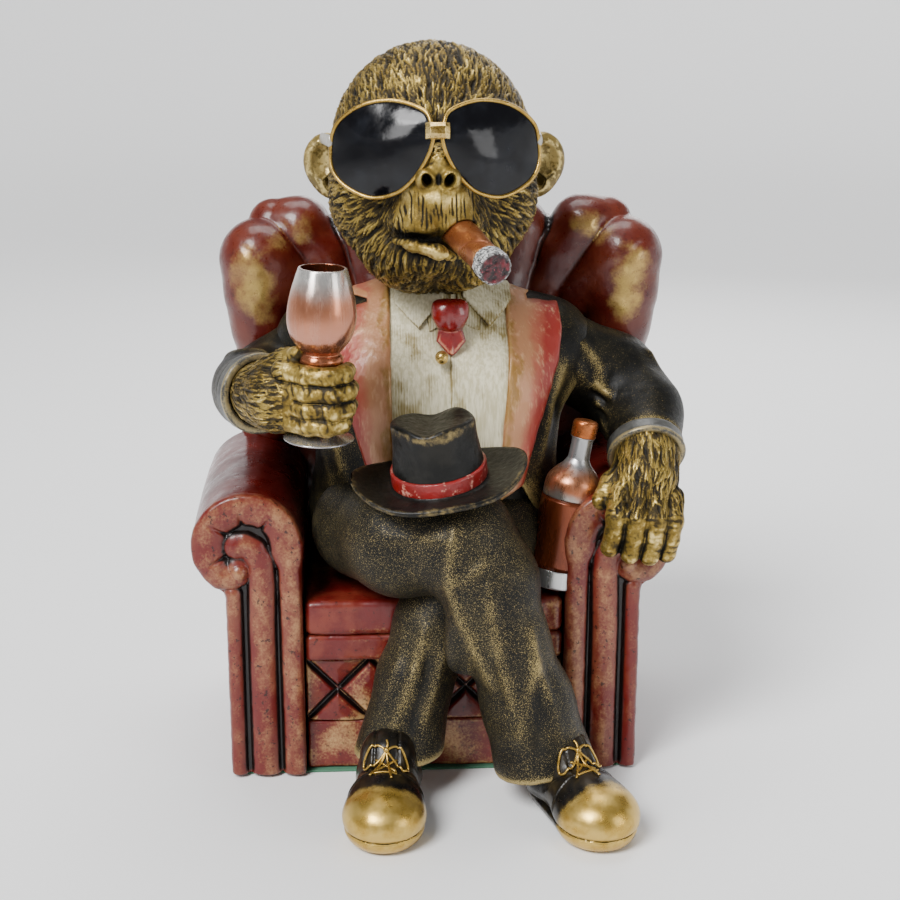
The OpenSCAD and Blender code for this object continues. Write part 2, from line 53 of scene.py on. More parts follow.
def make_camera():
    """The photograph's viewpoint: a little left of centre and 17 degrees above the table."""
    azimuth, elevation = math.radians(-3.0), math.radians(16.7)
    distance, lens_mm, shift = 0.748, 68.0, 1 / 150
    target = Vector((0.005, -0.047, 0.150))
    back = Vector((math.sin(azimuth) * math.cos(elevation), -math.cos(azimuth) * math.cos(elevation),
                   math.sin(elevation)))
    right = Vector((math.cos(azimuth), math.sin(azimuth), 0))
    data = bpy.data.cameras.new("camera")
    data.sensor_width = 36
    data.lens = lens_mm
    data.shift_x = shift
    data.clip_start, data.clip_end = 0.01, 20
    camera = bpy.data.objects.new("camera", data)
    turn = Matrix((right, back.cross(right), back)).transposed().to_4x4()
    camera.matrix_world = Matrix.Translation(target + back * distance) @ turn
    bpy.context.scene.collection.objects.link(camera)
    bpy.context.scene.camera = camera


def area_light(name, place, aim, size, watts):
    data = bpy.data.lights.new(name, "AREA")
    data.shape = "RECTANGLE"
    data.size, data.size_y = size
    data.energy = watts
    light = bpy.data.objects.new(name, data)
    light.location = place
    light.rotation_euler = (Vector(aim) - Vector(place)).to_track_quat("-Z", "Y").to_euler()
    bpy.context.scene.collection.objects.link(light)


def make_studio():
    world = bpy.data.worlds.new("studio")
    bpy.context.scene.world = world
    world.use_nodes = True
    sky = world.node_tree.nodes["Background"]
    sky.inputs["Color"].default_value = (0.96, 0.97, 1.0, 1)
    sky.inputs["Strength"].default_value = 0.24
    sun = bpy.data.lights.new("key", "SUN")
    sun.energy = 3.7
    sun.angle = math.radians(24)
    key = bpy.data.objects.new("key", sun)
    key.rotation_euler = Vector((0.50, 0.62, -0.85)).to_track_quat("-Z", "Y").to_euler()
    bpy.context.scene.collection.objects.link(key)
    middle = (0, -0.02, 0.17)
    area_light("left", (-0.60, -0.70, 0.75), middle, (0.30, 0.45), 4.5)
    area_light("fill", (0.9, -0.75, 0.45), middle, (0.4, 0.6), 3.0)
    area_light("top", (0.0, 0.2, 1.0), middle, (0.7, 0.4), 5)
    area_light("rim", (0.3, 0.9, 0.6), middle, (0.8, 0.5), 4)


def make_floor():
    """A pale round floor that curves up at its far edge, so no horizon shows."""
    flat_r, bend_r, sides = 2.0, 1.5, 96
    profile = [(0.01, 0), (1.0, 0), (flat_r, 0)]
    for angle in range(5, 85, 5):
        a = math.radians(angle)
        profile.append((flat_r + bend_r * math.sin(a), bend_r * (1 - math.cos(a))))
    verts, faces = [], []
    for r, z in profile:
        for j in range(sides):
            turn = 2 * math.pi * j / sides
            verts.append((r * math.cos(turn), r * math.sin(turn), z))
    for i in range(len(profile) - 1):
        for j in range(sides):
            k = (j + 1) % sides
            faces.append((i * sides + j, i * sides + k, (i + 1) * sides + k, (i + 1) * sides + j))
    faces.append(tuple(range(sides)))
    mesh = bpy.data.meshes.new("floor")
    mesh.from_pydata(verts, [], faces)
    mesh.polygons.foreach_set("use_smooth", [True] * len(mesh.polygons))
    floor = bpy.data.objects.new("floor", mesh)
    bpy.context.scene.collection.objects.link(floor)
    material = bpy.data.materials.new("floor")
    material.use_nodes = True
    shader = material.node_tree.nodes["Principled BSDF"]
    shader.inputs["Base Color"].default_value = (0.90, 0.90, 0.90, 1)
    shader.inputs["Roughness"].default_value = 0.8
    mesh.materials.append(material)


# ---- fields ----

def vec(*v):
    return np.array(v, F)


def length(v):
    return np.sqrt(np.einsum("ij,ij->i", v, v))


def join(a, b, k=2.0):
    """Smooth union."""
    h = np.maximum(k - np.abs(a - b), 0) / k
    return np.minimum(a, b) - h * h * k * 0.25


def cut(a, b, k=1.0):
    """a with b taken away, its edge rounded by k."""
    return -join(-a, b, k)


def both(a, b, k=1.0):
    """Smooth intersection."""
    return -join(-a, -b, k)


def step(x, low, high):
    t = np.clip((x - F(low)) / F(high - low), 0, 1)
    return t * t * (3 - 2 * t)


def turn_matrix(turn):
    x, y, z = (Matrix.Rotation(math.radians(angle), 3, axis) for angle, axis in zip(turn, "XYZ"))
    return np.array(z @ y @ x, F)


def turned(p, centre, turn):
    """p in the axes of something turned by Euler angles in degrees about its centre."""
    return (p - vec(*centre)) @ turn_matrix(turn)


def mirrored(p, x):
    """p folded over the plane at x, so that one shape makes a matching pair."""
    m = p.copy()
    m[:, 0] = np.abs(p[:, 0] - x)
    return m


def sided(p, x, side):
    """p measured from the plane at x, with X running outwards on the given side."""
    q = p - vec(x, 0, 0)
    q[:, 0] *= side
    return q


def egg(p, centre, radii, turn=(0, 0, 0)):
    """An ellipsoid."""
    q = turned(p, centre, turn)
    r = vec(*radii)
    k0 = length(q / r)
    k1 = length(q / (r * r)) + 1e-6
    return k0 * (k0 - 1) / k1


def rod(p, a, b):
    """A tapered rod between two balls, (x, y, z, radius)."""
    a, b = vec(*a), vec(*b)
    pa, ba = p - a[:3], (b - a)[:3]
    h = np.clip(pa @ ba / (ba @ ba), 0, 1)
    return length(pa - h[:, None] * ba) - (a[3] + h * (b[3] - a[3]))


def limb(p, balls, k=4.0):
    """Rods from each ball to the next, blended."""
    out = rod(p, balls[0], balls[1])
    for a, b in zip(balls[1:-1], balls[2:]):
        out = join(out, rod(p, a, b), k)
    return out


def crate(p, centre, half, r=1.0, turn=(0, 0, 0)):
    """A box with rounded edges."""
    q = np.abs(turned(p, centre, turn)) - (vec(*half) - F(r))
    return length(np.maximum(q, 0)) + np.minimum(q.max(1), 0) - F(r)


def outline(x, y, points):
    """Signed distance in the plane to a polygon."""
    pts = np.array(points, F)
    best = np.full(x.shape, 1e9, F)
    inside = np.zeros(x.shape, bool)
    for (ax, ay), (bx, by) in zip(pts, np.roll(pts, -1, 0)):
        ex, ey = bx - ax, by - ay
        wx, wy = x - ax, y - ay
        h = np.clip((wx * ex + wy * ey) / (ex * ex + ey * ey), 0, 1)
        best = np.minimum(best, (wx - ex * h) ** 2 + (wy - ey * h) ** 2)
        crosses = (ay > y) != (by > y)
        inside ^= crosses & (x < ax + (y - ay) * ex / (ey if abs(ey) > 1e-6 else 1e-6))
    return np.sqrt(best) * np.where(inside, F(-1), F(1))


def path_gap(p, points):
    """Distance to a polyline, and how far along it the nearest point is, from 0 to 1."""
    pts = np.array(points, F)
    spans = np.linalg.norm(pts[1:] - pts[:-1], axis=1)
    total, run = spans.sum(), F(0)
    best = np.full(len(p), 1e9, F)
    where = np.zeros(len(p), F)
    for a, b, span in zip(pts[:-1], pts[1:], spans):
        h = np.clip((p - a) @ (b - a) / (span * span), 0, 1)
        d = length(p - a - h[:, None] * (b - a))
        nearer = d < best
        best = np.where(nearer, d, best)
        where = np.where(nearer, (run + h * span) / total, where)
        run += span
    return best, where


def fold(p, points, width, height):
    """A soft ridge along a polyline that fades at its ends; a negative height makes a crease."""
    d, t = path_gap(p, points)
    ends = np.clip(4 * t * (1 - t) * 2, 0, 1)
    return F(height) * np.exp(-(d / F(width)) ** 2) * ends


LATTICE = np.random.default_rng(5).random((32, 32, 32), dtype=F)


def noise(p, scale, octaves=2):
    """Smooth value noise from -1 to 1; scale is the size of its largest lumps."""
    total, amp, out = 0.0, 1.0, 0
    q = p / F(scale)
    for _ in range(octaves):
        base = np.floor(q)
        f = q - base
        f = f * f * (3 - 2 * f)
        i = base.astype(np.int64)
        v = 0
        for dx in (0, 1):
            for dy in (0, 1):
                for dz in (0, 1):
                    w = ((f[:, 0] if dx else 1 - f[:, 0]) * (f[:, 1] if dy else 1 - f[:, 1])
                         * (f[:, 2] if dz else 1 - f[:, 2]))
                    v = v + w * LATTICE[(i[:, 0] + dx) % 32, (i[:, 1] + dy) % 32, (i[:, 2] + dz) % 32]
        out = out + amp * (2 * v - 1)
        total += amp
        amp *= 0.5
        q = q * 2.03 + 7.1
    return out / F(total)


# ---- meshing ----

def surface_net(values, low, h):
    """Vertices and quads of the zero surface of a grid of field values."""
    inside = values < 0
    corners = [(i, j, k) for i in (0, 1) for j in (0, 1) for k in (0, 1)]
    n = np.array(values.shape) - 1
    part = [slice(0, -1), slice(1, None)]
    count = sum(inside[part[i], part[j], part[k]].astype(np.int8) for i, j, k in corners)
    cells = np.argwhere((count > 0) & (count < 8))
    number = np.full(tuple(n), -1, np.int64)
    number[tuple(cells.T)] = np.arange(len(cells))
    at = {c: values[tuple((cells + c).T)] for c in corners}
    total = np.zeros((len(cells), 3), F)
    hits = np.zeros(len(cells), F)
    for a in corners:
        for axis in range(3):
            if a[axis]:
                continue
            b = tuple(1 if i == axis else a[i] for i in range(3))
            crossed = (at[a] < 0) != (at[b] < 0)
            gap = at[a] - at[b]
            t = np.where(crossed, at[a] / np.where(gap == 0, 1, gap), 0)
            point = np.repeat(np.array([a], F), len(cells), 0)
            point[:, axis] = t
            total += point * crossed[:, None]
            hits += crossed
    verts = (cells + total / hits[:, None]) * F(h) + np.array(low, F)
    quads = []
    for axis in range(3):
        u, v = (axis + 1) % 3, (axis + 2) % 3
        lo = [slice(None)] * 3
        hi = [slice(None)] * 3
        lo[axis], hi[axis] = slice(0, -1), slice(1, None)
        start, end = inside[tuple(lo)], inside[tuple(hi)]
        edges = np.argwhere(start != end)
        across = edges[:, [u, v]]
        edges = edges[((across > 0) & (across < n[[u, v]])).all(1)]
        flip = start[tuple(edges.T)]
        ring = []
        for du, dv in ((1, 1), (0, 1), (0, 0), (1, 0)):
            c = edges.copy()
            c[:, u] -= du
            c[:, v] -= dv
            ring.append(number[tuple(c.T)])
        ring = np.stack(ring, 1)
        ring[~flip] = ring[~flip][:, ::-1]
        quads.append(ring)
    return verts.astype(F), np.concatenate(quads)


def split_quads(verts, quads):
    """Each quad becomes four."""
    sides = np.stack([quads, np.roll(quads, -1, 1)], 2).reshape(-1, 2)
    sides.sort(1)
    key = sides[:, 0] * len(verts) + sides[:, 1]
    unique, back = np.unique(key, return_inverse=True)
    ends = np.stack([unique // len(verts), unique % len(verts)], 1)
    middles = verts[ends].mean(1)
    centres = verts[quads].mean(1)
    mid = back.reshape(-1, 4) + len(verts)
    centre = np.arange(len(quads)) + len(verts) + len(middles)
    parts = [np.stack([quads[:, i], mid[:, i], centre, mid[:, i - 1]], 1) for i in range(4)]
    return np.concatenate([verts, middles, centres]).astype(F), np.concatenate(parts)


def slope(field, p, eps=0.2):
    """The field's gradient and value."""
    here = field(p)
    g = np.empty_like(p)
    for axis in range(3):
        q = p.copy()
        q[:, axis] += F(eps)
        g[:, axis] = (field(q) - here) / F(eps)
    return g, here


def settle(field, p, rounds=2):
    """Moves points onto the field's zero surface."""
    for _ in range(rounds):
        g, here = slope(field, p)
        p = p - g * np.clip(here / np.maximum(np.einsum("ij,ij->i", g, g), 0.25), -1.5, 1.5)[:, None]
    return p


def unit(v):
    return v / np.maximum(length(v), 1e-6)[:, None]


def mesh_object(name, verts, faces, marks=None):
    """A Blender object in metres, with marks as float attributes on its points."""
    mesh = bpy.data.meshes.new(name)
    verts = np.asarray(verts, F)
    faces = np.asarray(faces, np.int32)
    mesh.vertices.add(len(verts))
    mesh.vertices.foreach_set("co", (verts * F(MM)).ravel())
    mesh.loops.add(faces.size)
    mesh.loops.foreach_set("vertex_index", faces.ravel())
    mesh.polygons.add(len(faces))
    mesh.polygons.foreach_set("loop_start", np.arange(0, faces.size, faces.shape[1], dtype=np.int32))
    mesh.update(calc_edges=True)
    mesh.validate()
    mesh.polygons.foreach_set("use_smooth", np.ones(len(mesh.polygons), bool))
    for key, values in (marks or {}).items():
        layer = mesh.attributes.new(key, "FLOAT", "POINT")
        layer.data.foreach_set("value", np.asarray(values, F))
    thing = bpy.data.objects.new(name, mesh)
    bpy.context.scene.collection.objects.link(thing)
    return thing


def place(thing, material, node, slot):
    """Paints a piece and puts it in the place of its CAD node."""
    thing.data.materials.append(material)
    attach(thing, "root")
    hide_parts(node)


def grid_of(low, high, h):
    axes = [np.arange(low[i], high[i] + h, h, dtype=F) for i in range(3)]
    return np.stack(np.meshgrid(*axes, indexing="ij"), -1)


def sculpt(name, field, low, high, h, material, slot, carve=None, splits=1):
    """Meshes a field on a grid of pitch h from low to high, and places it.

    carve(points, normals) gives the fine relief's height and the marks that the paint reads.
    """
    grid = grid_of(low, high, h)
    flat = grid.reshape(-1, 3)
    values = np.concatenate([field(flat[i:i + BATCH]) for i in range(0, len(flat), BATCH)])
    verts, quads = surface_net(values.reshape(grid.shape[:3]), low, h)
    verts = settle(field, verts, 1)
    for _ in range(splits):
        verts, quads = split_quads(verts, quads)
        verts = settle(field, verts, 1)
    normals = unit(slope(field, verts)[0])
    marks = shade_marks(field, verts, normals)
    marks["relief"] = np.full(len(verts), 0.5, F)
    if carve:
        height, carved = carve(verts, normals)
        marks.update(carved)
        verts = verts + normals * height[:, None]
    place(mesh_object(name, verts, quads, marks), material, name, slot)


def shade_marks(field, p, n):
    """hollow is 1 in creases, where the paints lay a painted shade; ridge is 1 on sharp outer edges,
    both 0 on flat surface.
    """
    hollow = (np.clip(1 - field(p + n * 2) / 2, 0, 1) * 0.6
              + np.clip(1 - field(p + n * 5) / 5, 0, 1) * 0.6)
    ridge = (np.clip(1 + field(p - n * 2) / 2, 0, 1) * 0.7
             + np.clip(1 + field(p - n * 5) / 5, 0, 1) * 0.5)
    return {"hollow": np.clip(hollow, 0, 1), "ridge": np.clip(ridge, 0, 1)}


# ---- swept and turned shapes ----

def curve(points, steps=8, closed=False):
    """A smooth curve through the points."""
    pts = np.array(points, float)
    n = len(pts)
    out = []
    for i in range(n if closed else n - 1):
        near = (i - 1, i, i + 1, i + 2)
        a, b, c, d = (pts[k % n] if closed else pts[min(max(k, 0), n - 1)] for k in near)
        for t in np.arange(steps) / steps:
            out.append(b + ((c - a) * t + (2 * a - 5 * b + 4 * c - d) * t ** 2
                            + (3 * b - a - 3 * c + d) * t ** 3) / 2)
    if not closed:
        out.append(pts[-1])
    return np.array(out, F)


def ring_faces(rings, sides, closed=False):
    """Triangles between rings of vertices that follow one another."""
    i, j = np.meshgrid(np.arange(rings if closed else rings - 1), np.arange(sides), indexing="ij")
    k, ahead = (i + 1) % rings, (j + 1) % sides
    corners = (i * sides + j, i * sides + ahead, k * sides + ahead, k * sides + j)
    a, b, c, d = (v.ravel() for v in corners)
    return np.concatenate([np.stack([a, b, c], 1), np.stack([a, c, d], 1)])


def capped(verts, sides, first, last):
    """Rings of vertices closed with a fan at each end."""
    rings = len(verts) // sides
    j = np.arange(sides)
    ahead = (j + 1) % sides
    n, end = len(verts), (rings - 1) * sides
    start_fan = np.stack([np.full(sides, n), ahead, j], 1)
    end_fan = np.stack([np.full(sides, n + 1), end + j, end + ahead], 1)
    return (np.concatenate([verts, [first, last]]).astype(F),
            np.concatenate([ring_faces(rings, sides), start_fan, end_fan]))


def circle(sides):
    a = np.linspace(0, 2 * np.pi, sides, endpoint=False)
    return np.cos(a).astype(F), np.sin(a).astype(F)


def tube(path, radius, sides=12, closed=False):
    """A round wire along a path; radius is a number or one per point."""
    path = np.asarray(path, F)
    radius = np.broadcast_to(np.asarray(radius, F), len(path))
    ahead = unit(np.roll(path, -1, 0) - np.roll(path, 1, 0) if closed else np.gradient(path, axis=0))
    side = np.cross(ahead[0], vec(0.3, 0.25, 0.92))
    c, s = circle(sides)
    rings = []
    for point, way, r in zip(path, ahead, radius):
        side = side - way * (side @ way)
        side = side / np.linalg.norm(side)
        up = np.cross(way, side)
        rings.append(point + r * (c[:, None] * side + s[:, None] * up))
    verts = np.concatenate(rings).astype(F)
    if closed:
        return verts, ring_faces(len(path), sides, True)
    return capped(verts, sides, path[0], path[-1])


def turned_rings(radii, heights, sides):
    c, s = circle(sides)
    rings = [np.outer(radii, c), np.outer(radii, s), np.repeat(heights[:, None], sides, 1)]
    return np.stack(rings, -1).reshape(-1, 3)


def lathe(profile, sides=SIDES):
    """A turned shape, from a profile of (radius, height) that starts and ends on the axis."""
    profile = np.asarray(profile, F)
    rings = turned_rings(profile[1:-1, 0], profile[1:-1, 1], sides)
    return capped(rings, sides, (0, 0, profile[0, 1]), (0, 0, profile[-1, 1]))


def moved(verts, centre, turn=(0, 0, 0)):
    """The opposite of turned(): from a thing's own axes to the world's."""
    return verts @ turn_matrix(turn).T + vec(*centre)


def along(start, end):
    """Euler angles in degrees that take +Z to the way from start to end."""
    d = np.array(end, float) - np.array(start, float)
    return (0, math.degrees(math.acos(d[2] / np.linalg.norm(d))), math.degrees(math.atan2(d[1], d[0])))


def pile(*shapes):
    """Several (vertices, faces) as one."""
    verts, faces, count = [], [], 0
    for v, f in shapes:
        verts.append(v)
        faces.append(f + count)
        count += len(v)
    return np.concatenate(verts), np.concatenate(faces)


# ---- paint ----

class Paint:
    """Builds one node material."""

    def __init__(self, name):
        self.material = bpy.data.materials.new(name)
        self.material.use_nodes = True
        self.tree = self.material.node_tree
        self.shader = self.tree.nodes["Principled BSDF"]
        self.place = self.add("ShaderNodeTexCoord").outputs["Object"]

    def add(self, kind, **settings):
        node = self.tree.nodes.new(kind)
        for key, value in settings.items():
            setattr(node, key, value)
        return node

    def wire(self, source, target):
        if isinstance(source, (int, float)):
            target.default_value = source
        elif isinstance(source, tuple):
            target.default_value = (*source, 1)
        else:
            self.tree.links.new(source, target)

    def mark(self, name):
        return self.add("ShaderNodeAttribute", attribute_name=name).outputs["Fac"]

    def noise(self, scale, detail=3, stretch=(1, 1, 1)):
        """scale is lumps per metre."""
        turn = self.add("ShaderNodeMapping")
        self.wire(self.place, turn.inputs["Vector"])
        turn.inputs["Scale"].default_value = stretch
        node = self.add("ShaderNodeTexNoise")
        self.tree.links.new(turn.outputs[0], node.inputs["Vector"])
        node.inputs["Scale"].default_value = scale
        node.inputs["Detail"].default_value = detail
        node.inputs["Roughness"].default_value = 0.6
        return node.outputs["Fac"]

    def math(self, kind, a, b):
        node = self.add("ShaderNodeMath", operation=kind)
        self.wire(a, node.inputs[0])
        self.wire(b, node.inputs[1])
        return node.outputs[0]

    def plus(self, level, value, amount):
        """level with so much of a mark or texture added."""
        return self.math("ADD", level, self.math("MULTIPLY", value, amount))

    def vary(self, level, texture, amount):
        """level moved by a texture, half the amount up and half down."""
        return self.plus(level, self.math("SUBTRACT", texture, 0.5), amount)

    def ramp(self, value, low, high, to_low=0.0, to_high=1.0):
        node = self.add("ShaderNodeMapRange", interpolation_type="SMOOTHSTEP")
        self.wire(value, node.inputs["Value"])
        for key, v in (("From Min", low), ("From Max", high), ("To Min", to_low), ("To Max", to_high)):
            node.inputs[key].default_value = v
        return node.outputs["Result"]

    def mix(self, factor, a, b):
        node = self.add("ShaderNodeMix", data_type="RGBA", blend_type="MIX")
        self.wire(factor, node.inputs["Factor"])
        self.wire(a, node.inputs[6])
        self.wire(b, node.inputs[7])
        return node.outputs[2]

    def finish(self, colour, rough, metal, bump, depth, coat=0.0, coat_rough=0.1, gloss=0.5):
        self.wire(colour, self.shader.inputs["Base Color"])
        self.wire(rough, self.shader.inputs["Roughness"])
        self.wire(metal, self.shader.inputs["Metallic"])
        self.shader.inputs["Specular IOR Level"].default_value = gloss
        self.shader.inputs["Coat Weight"].default_value = coat
        self.shader.inputs["Coat Roughness"].default_value = coat_rough
        node = self.add("ShaderNodeBump")
        node.inputs["Strength"].default_value = 1.0
        node.inputs["Distance"].default_value = depth
        self.wire(bump, node.inputs["Height"])
        self.tree.links.new(node.outputs["Normal"], self.shader.inputs["Normal"])
        return self.material


def fur_paint():
    """Gold dry-brushed over black: only the tops of the carved hairs take it, and the highest a paler
    gold as a painted highlight.
    """
    p = Paint("fur_gold_on_black")
    relief, hollow, bare = p.mark("relief"), p.mark("hollow"), p.mark("bare")
    patch = p.noise(85, 3)
    grain = p.noise(1900, 2)
    fine = p.noise(900, 3)
    level = p.vary(relief, fine, 0.2)
    level = p.plus(level, hollow, -0.25)
    level = p.vary(level, patch, 0.35)
    level = p.plus(level, bare, 0.14)
    dark = p.mix(p.ramp(grain, 0.3, 0.7), (0.0025, 0.002, 0.0015), (0.008, 0.006, 0.003))
    dark = p.mix(p.ramp(level, 0.25, 0.50), dark, (0.034, 0.023, 0.006))
    gold = p.mix(p.ramp(patch, 0.35, 0.65), (0.20, 0.128, 0.025), (0.31, 0.215, 0.050))
    # painted highlight: the highest hair tops lighten to a pale gold over the heaviest dry-brushing
    gold_and_highlight = p.mix(p.ramp(level, 0.66, 0.90), gold, (0.90, 0.69, 0.26))
    colour = p.mix(p.ramp(level, 0.49, 0.69), dark, gold_and_highlight)
    # painted shade: the hollows between hairs and fingers turn near black
    colour = p.mix(p.ramp(hollow, 0.5, 0.95), colour, (0.004, 0.0035, 0.002))
    shine = p.ramp(level, 0.48, 0.75, 0.0, 0.8)
    bump = p.plus(fine, grain, 0.35)
    return p.finish(colour, p.ramp(level, 0.3, 0.9, 0.5, 0.34), shine, bump, 0.0003, gloss=0.15)


def worn_paint(name, shade_and_specks, body, patch, rub, rub_at, grain, lumps, rough, metal, coat=0.0,
               stipple=0.3, stretch=(1, 1, 1), depth=0.00015, worn=None, gloss=0.5, edge=0.9,
               base_metal=0.0, specks=0.0, blotch=0.8, scrape=0.4):
    """Antique paint: painted shade in hollows, patchy on flats, a second colour rubbed on what stands
    out.

    rub_at is where the rubbed colour starts and is full. grain, lumps are textures per metre. stipple,
    edge, blotch and scrape say how far fine grain, outer edges, lumps and scratches break the rubbing.
    """
    p = Paint(name)
    relief, hollow, ridge = p.mark("relief"), p.mark("hollow"), p.mark("ridge")
    broad = p.noise(lumps, 4, stretch)
    fine = p.noise(grain, 2)
    scratch = p.noise(grain * 0.3, 4, stretch)
    base = p.mix(p.ramp(broad, 0.38, 0.62), body, patch)
    # painted shade: in hollows and creases the base turns to the dark shade colour, which also paints
    # the real specks
    base = p.mix(p.ramp(hollow, 0.18, 0.68), base, shade_and_specks)
    level = p.plus(relief, ridge, edge)
    level = p.vary(level, fine, stipple * 2)
    level = p.vary(level, broad, blotch)
    level = p.vary(level, scratch, scrape)
    level = p.plus(level, hollow, -0.7)
    if worn:
        level = p.plus(level, p.mark(worn), 0.9)
    rubbed = p.ramp(level, *rub_at)
    colour = p.mix(rubbed, base, rub)
    if specks:
        spots = p.ramp(p.noise(420, 3), 0.60, 0.68, 0.0, specks)
        colour = p.mix(spots, colour, shade_and_specks)
    shine = p.ramp(rubbed, 0, 1, base_metal, metal)
    bump = p.plus(scratch, fine, 0.4)
    sheen = p.ramp(scratch, 0.3, 0.7, rough - 0.07, rough + 0.07)
    return p.finish(colour, sheen, shine, bump, depth, coat, 0.12, gloss)


def shirt_paint():
    p = Paint("shirt_white")
    relief, hollow = p.mark("relief"), p.mark("hollow")
    wash = p.noise(75, 4, (1, 1, 0.5))
    threads = p.noise(700, 3, (1, 1, 0.08))
    dirt_and_shade = p.math("ADD", p.ramp(wash, 0.45, 0.68, 0.0, 0.75), p.ramp(threads, 0.5, 0.75, 0.0, 0.22))
    # the wash and thread stains are the shirt's own; the low parts of the carving and the hollows darken
    # as painted shade
    dirt_and_shade = p.math("ADD", dirt_and_shade, p.math("SUBTRACT", 0.5, relief))
    dirt_and_shade = p.plus(dirt_and_shade, hollow, 1.3)
    light = p.mix(p.ramp(threads, 0.35, 0.65), (0.50, 0.45, 0.28), (0.70, 0.65, 0.46))
    colour = p.mix(p.ramp(dirt_and_shade, 0.2, 1.1), light, (0.22, 0.165, 0.05))
    colour = p.mix(p.ramp(dirt_and_shade, 1.0, 1.7), colour, (0.07, 0.05, 0.02))
    return p.finish(colour, 0.55, 0.0, threads, 0.00007, gloss=0.35)


def lapel_paint():
    """Red at the outer edge, through copper, to ochre and cream beside the shirt."""
    p = Paint("lapel_red")
    inner, relief, hollow, ridge = p.mark("inner"), p.mark("relief"), p.mark("hollow"), p.mark("ridge")
    broad = p.noise(80, 4, (1, 1, 0.6))
    streak = p.noise(800, 4, (1, 1, 0.25))
    across = p.vary(inner, broad, 0.9)
    colour = p.mix(p.ramp(across, 0.1, 0.42), (0.26, 0.020, 0.012), (0.34, 0.085, 0.045))
    colour = p.mix(p.ramp(across, 0.36, 0.75), colour, (0.40, 0.185, 0.085))
    colour = p.mix(p.ramp(across, 0.90, 1.06), colour, (0.25, 0.125, 0.022))
    pale = p.vary(relief, streak, 1.5)
    pale = p.vary(pale, broad, 1.1)
    colour = p.mix(p.ramp(pale, 0.50, 1.25, 0.0, 0.7), colour, (0.62, 0.37, 0.20))
    colour = p.mix(p.ramp(ridge, 0.75, 1.0, 0.0, 0.35), colour, (0.60, 0.38, 0.14))
    # painted shade in the lapel's hollows
    colour = p.mix(p.ramp(hollow, 0.35, 0.9), colour, (0.05, 0.015, 0.01))
    return p.finish(colour, 0.42, 0.15, streak, 0.0002, 0.15)


def faded_metal(name, stops, rough, inner=None):
    """Brushed metallic paint that changes colour along the mark fade; stops are (place, colour)."""
    p = Paint(name)
    fade = p.mark("fade")
    broad = p.noise(70, 3)
    brush = p.noise(500, 2, (1, 1, 0.1))
    fade = p.vary(fade, broad, 0.16)
    colour = stops[0][1]
    for (low, _), (high, tint) in zip(stops[:-1], stops[1:]):
        colour = p.mix(p.ramp(fade, low, high), colour, tint)
    colour = p.mix(p.ramp(brush, 0.4, 0.8, 0.0, 0.05), colour, (0.95, 0.90, 0.86))
    # painted shade: the inside of the bowl takes a darker copper
    if inner:
        colour = p.mix(p.mark("inner"), colour, inner)
    return p.finish(colour, p.ramp(brush, 0.3, 0.7, rough - 0.05, rough + 0.08), 0.85, broad, 0.0001)


def lens_paint():
    p = Paint("gloss_black")
    smoke = p.noise(60, 3)
    film = p.noise(420, 3)
    colour = p.mix(p.ramp(smoke, 0.45, 0.7), (0.002, 0.002, 0.003), (0.008, 0.009, 0.012))
    return p.finish(colour, p.ramp(film, 0.35, 0.65, 0.10, 0.17), 0.0, film, 0.00005, gloss=0.3)


def ash_paint():
    p = Paint("cigar_ash")
    ember, relief = p.mark("ember"), p.mark("relief")
    specks = p.noise(1300, 2)
    crumbs = p.noise(600, 3)
    ash = p.mix(p.ramp(crumbs, 0.35, 0.65), (0.10, 0.10, 0.10), (0.62, 0.61, 0.59))
    ash = p.mix(p.ramp(specks, 0.50, 0.58), ash, (0.010, 0.009, 0.008))
    hot = p.mix(p.ramp(relief, 0.35, 0.85), (0.006, 0.0005, 0.001), (0.12, 0.006, 0.012))
    hot = p.mix(p.ramp(specks, 0.60, 0.70), hot, (0.24, 0.04, 0.06))
    return p.finish(p.mix(ember, ash, hot), p.ramp(ember, 0, 1, 0.75, 0.35), 0.0, crumbs, 0.0004)


def shoe_paint():
    p = Paint("shoe_gold_black")
    worn, hollow = p.mark("worn"), p.mark("hollow")
    cloud = p.noise(140, 4)
    speck = p.noise(1600, 2)
    level = p.vary(worn, cloud, 0.4)
    level = p.vary(level, speck, 0.5)
    gold = p.mix(p.ramp(cloud, 0.35, 0.65), (0.46, 0.29, 0.055), (0.60, 0.41, 0.11))
    black = p.mix(p.ramp(cloud, 0.4, 0.7), (0.005, 0.0045, 0.004), (0.020, 0.014, 0.006))
    colour = p.mix(p.ramp(level, 0.25, 0.8), black, gold)
    # painted shade in the shoe's hollows
    colour = p.mix(p.ramp(hollow, 0.5, 0.95), colour, (0.01, 0.008, 0.005))
    rough = p.ramp(cloud, 0.3, 0.7, 0.26, 0.36)
    shine = p.ramp(level, 0.3, 0.8, 0.0, 0.85)
    return p.finish(colour, rough, shine, speck, 0.00006, coat=0.08, coat_rough=0.12, gloss=0.3)


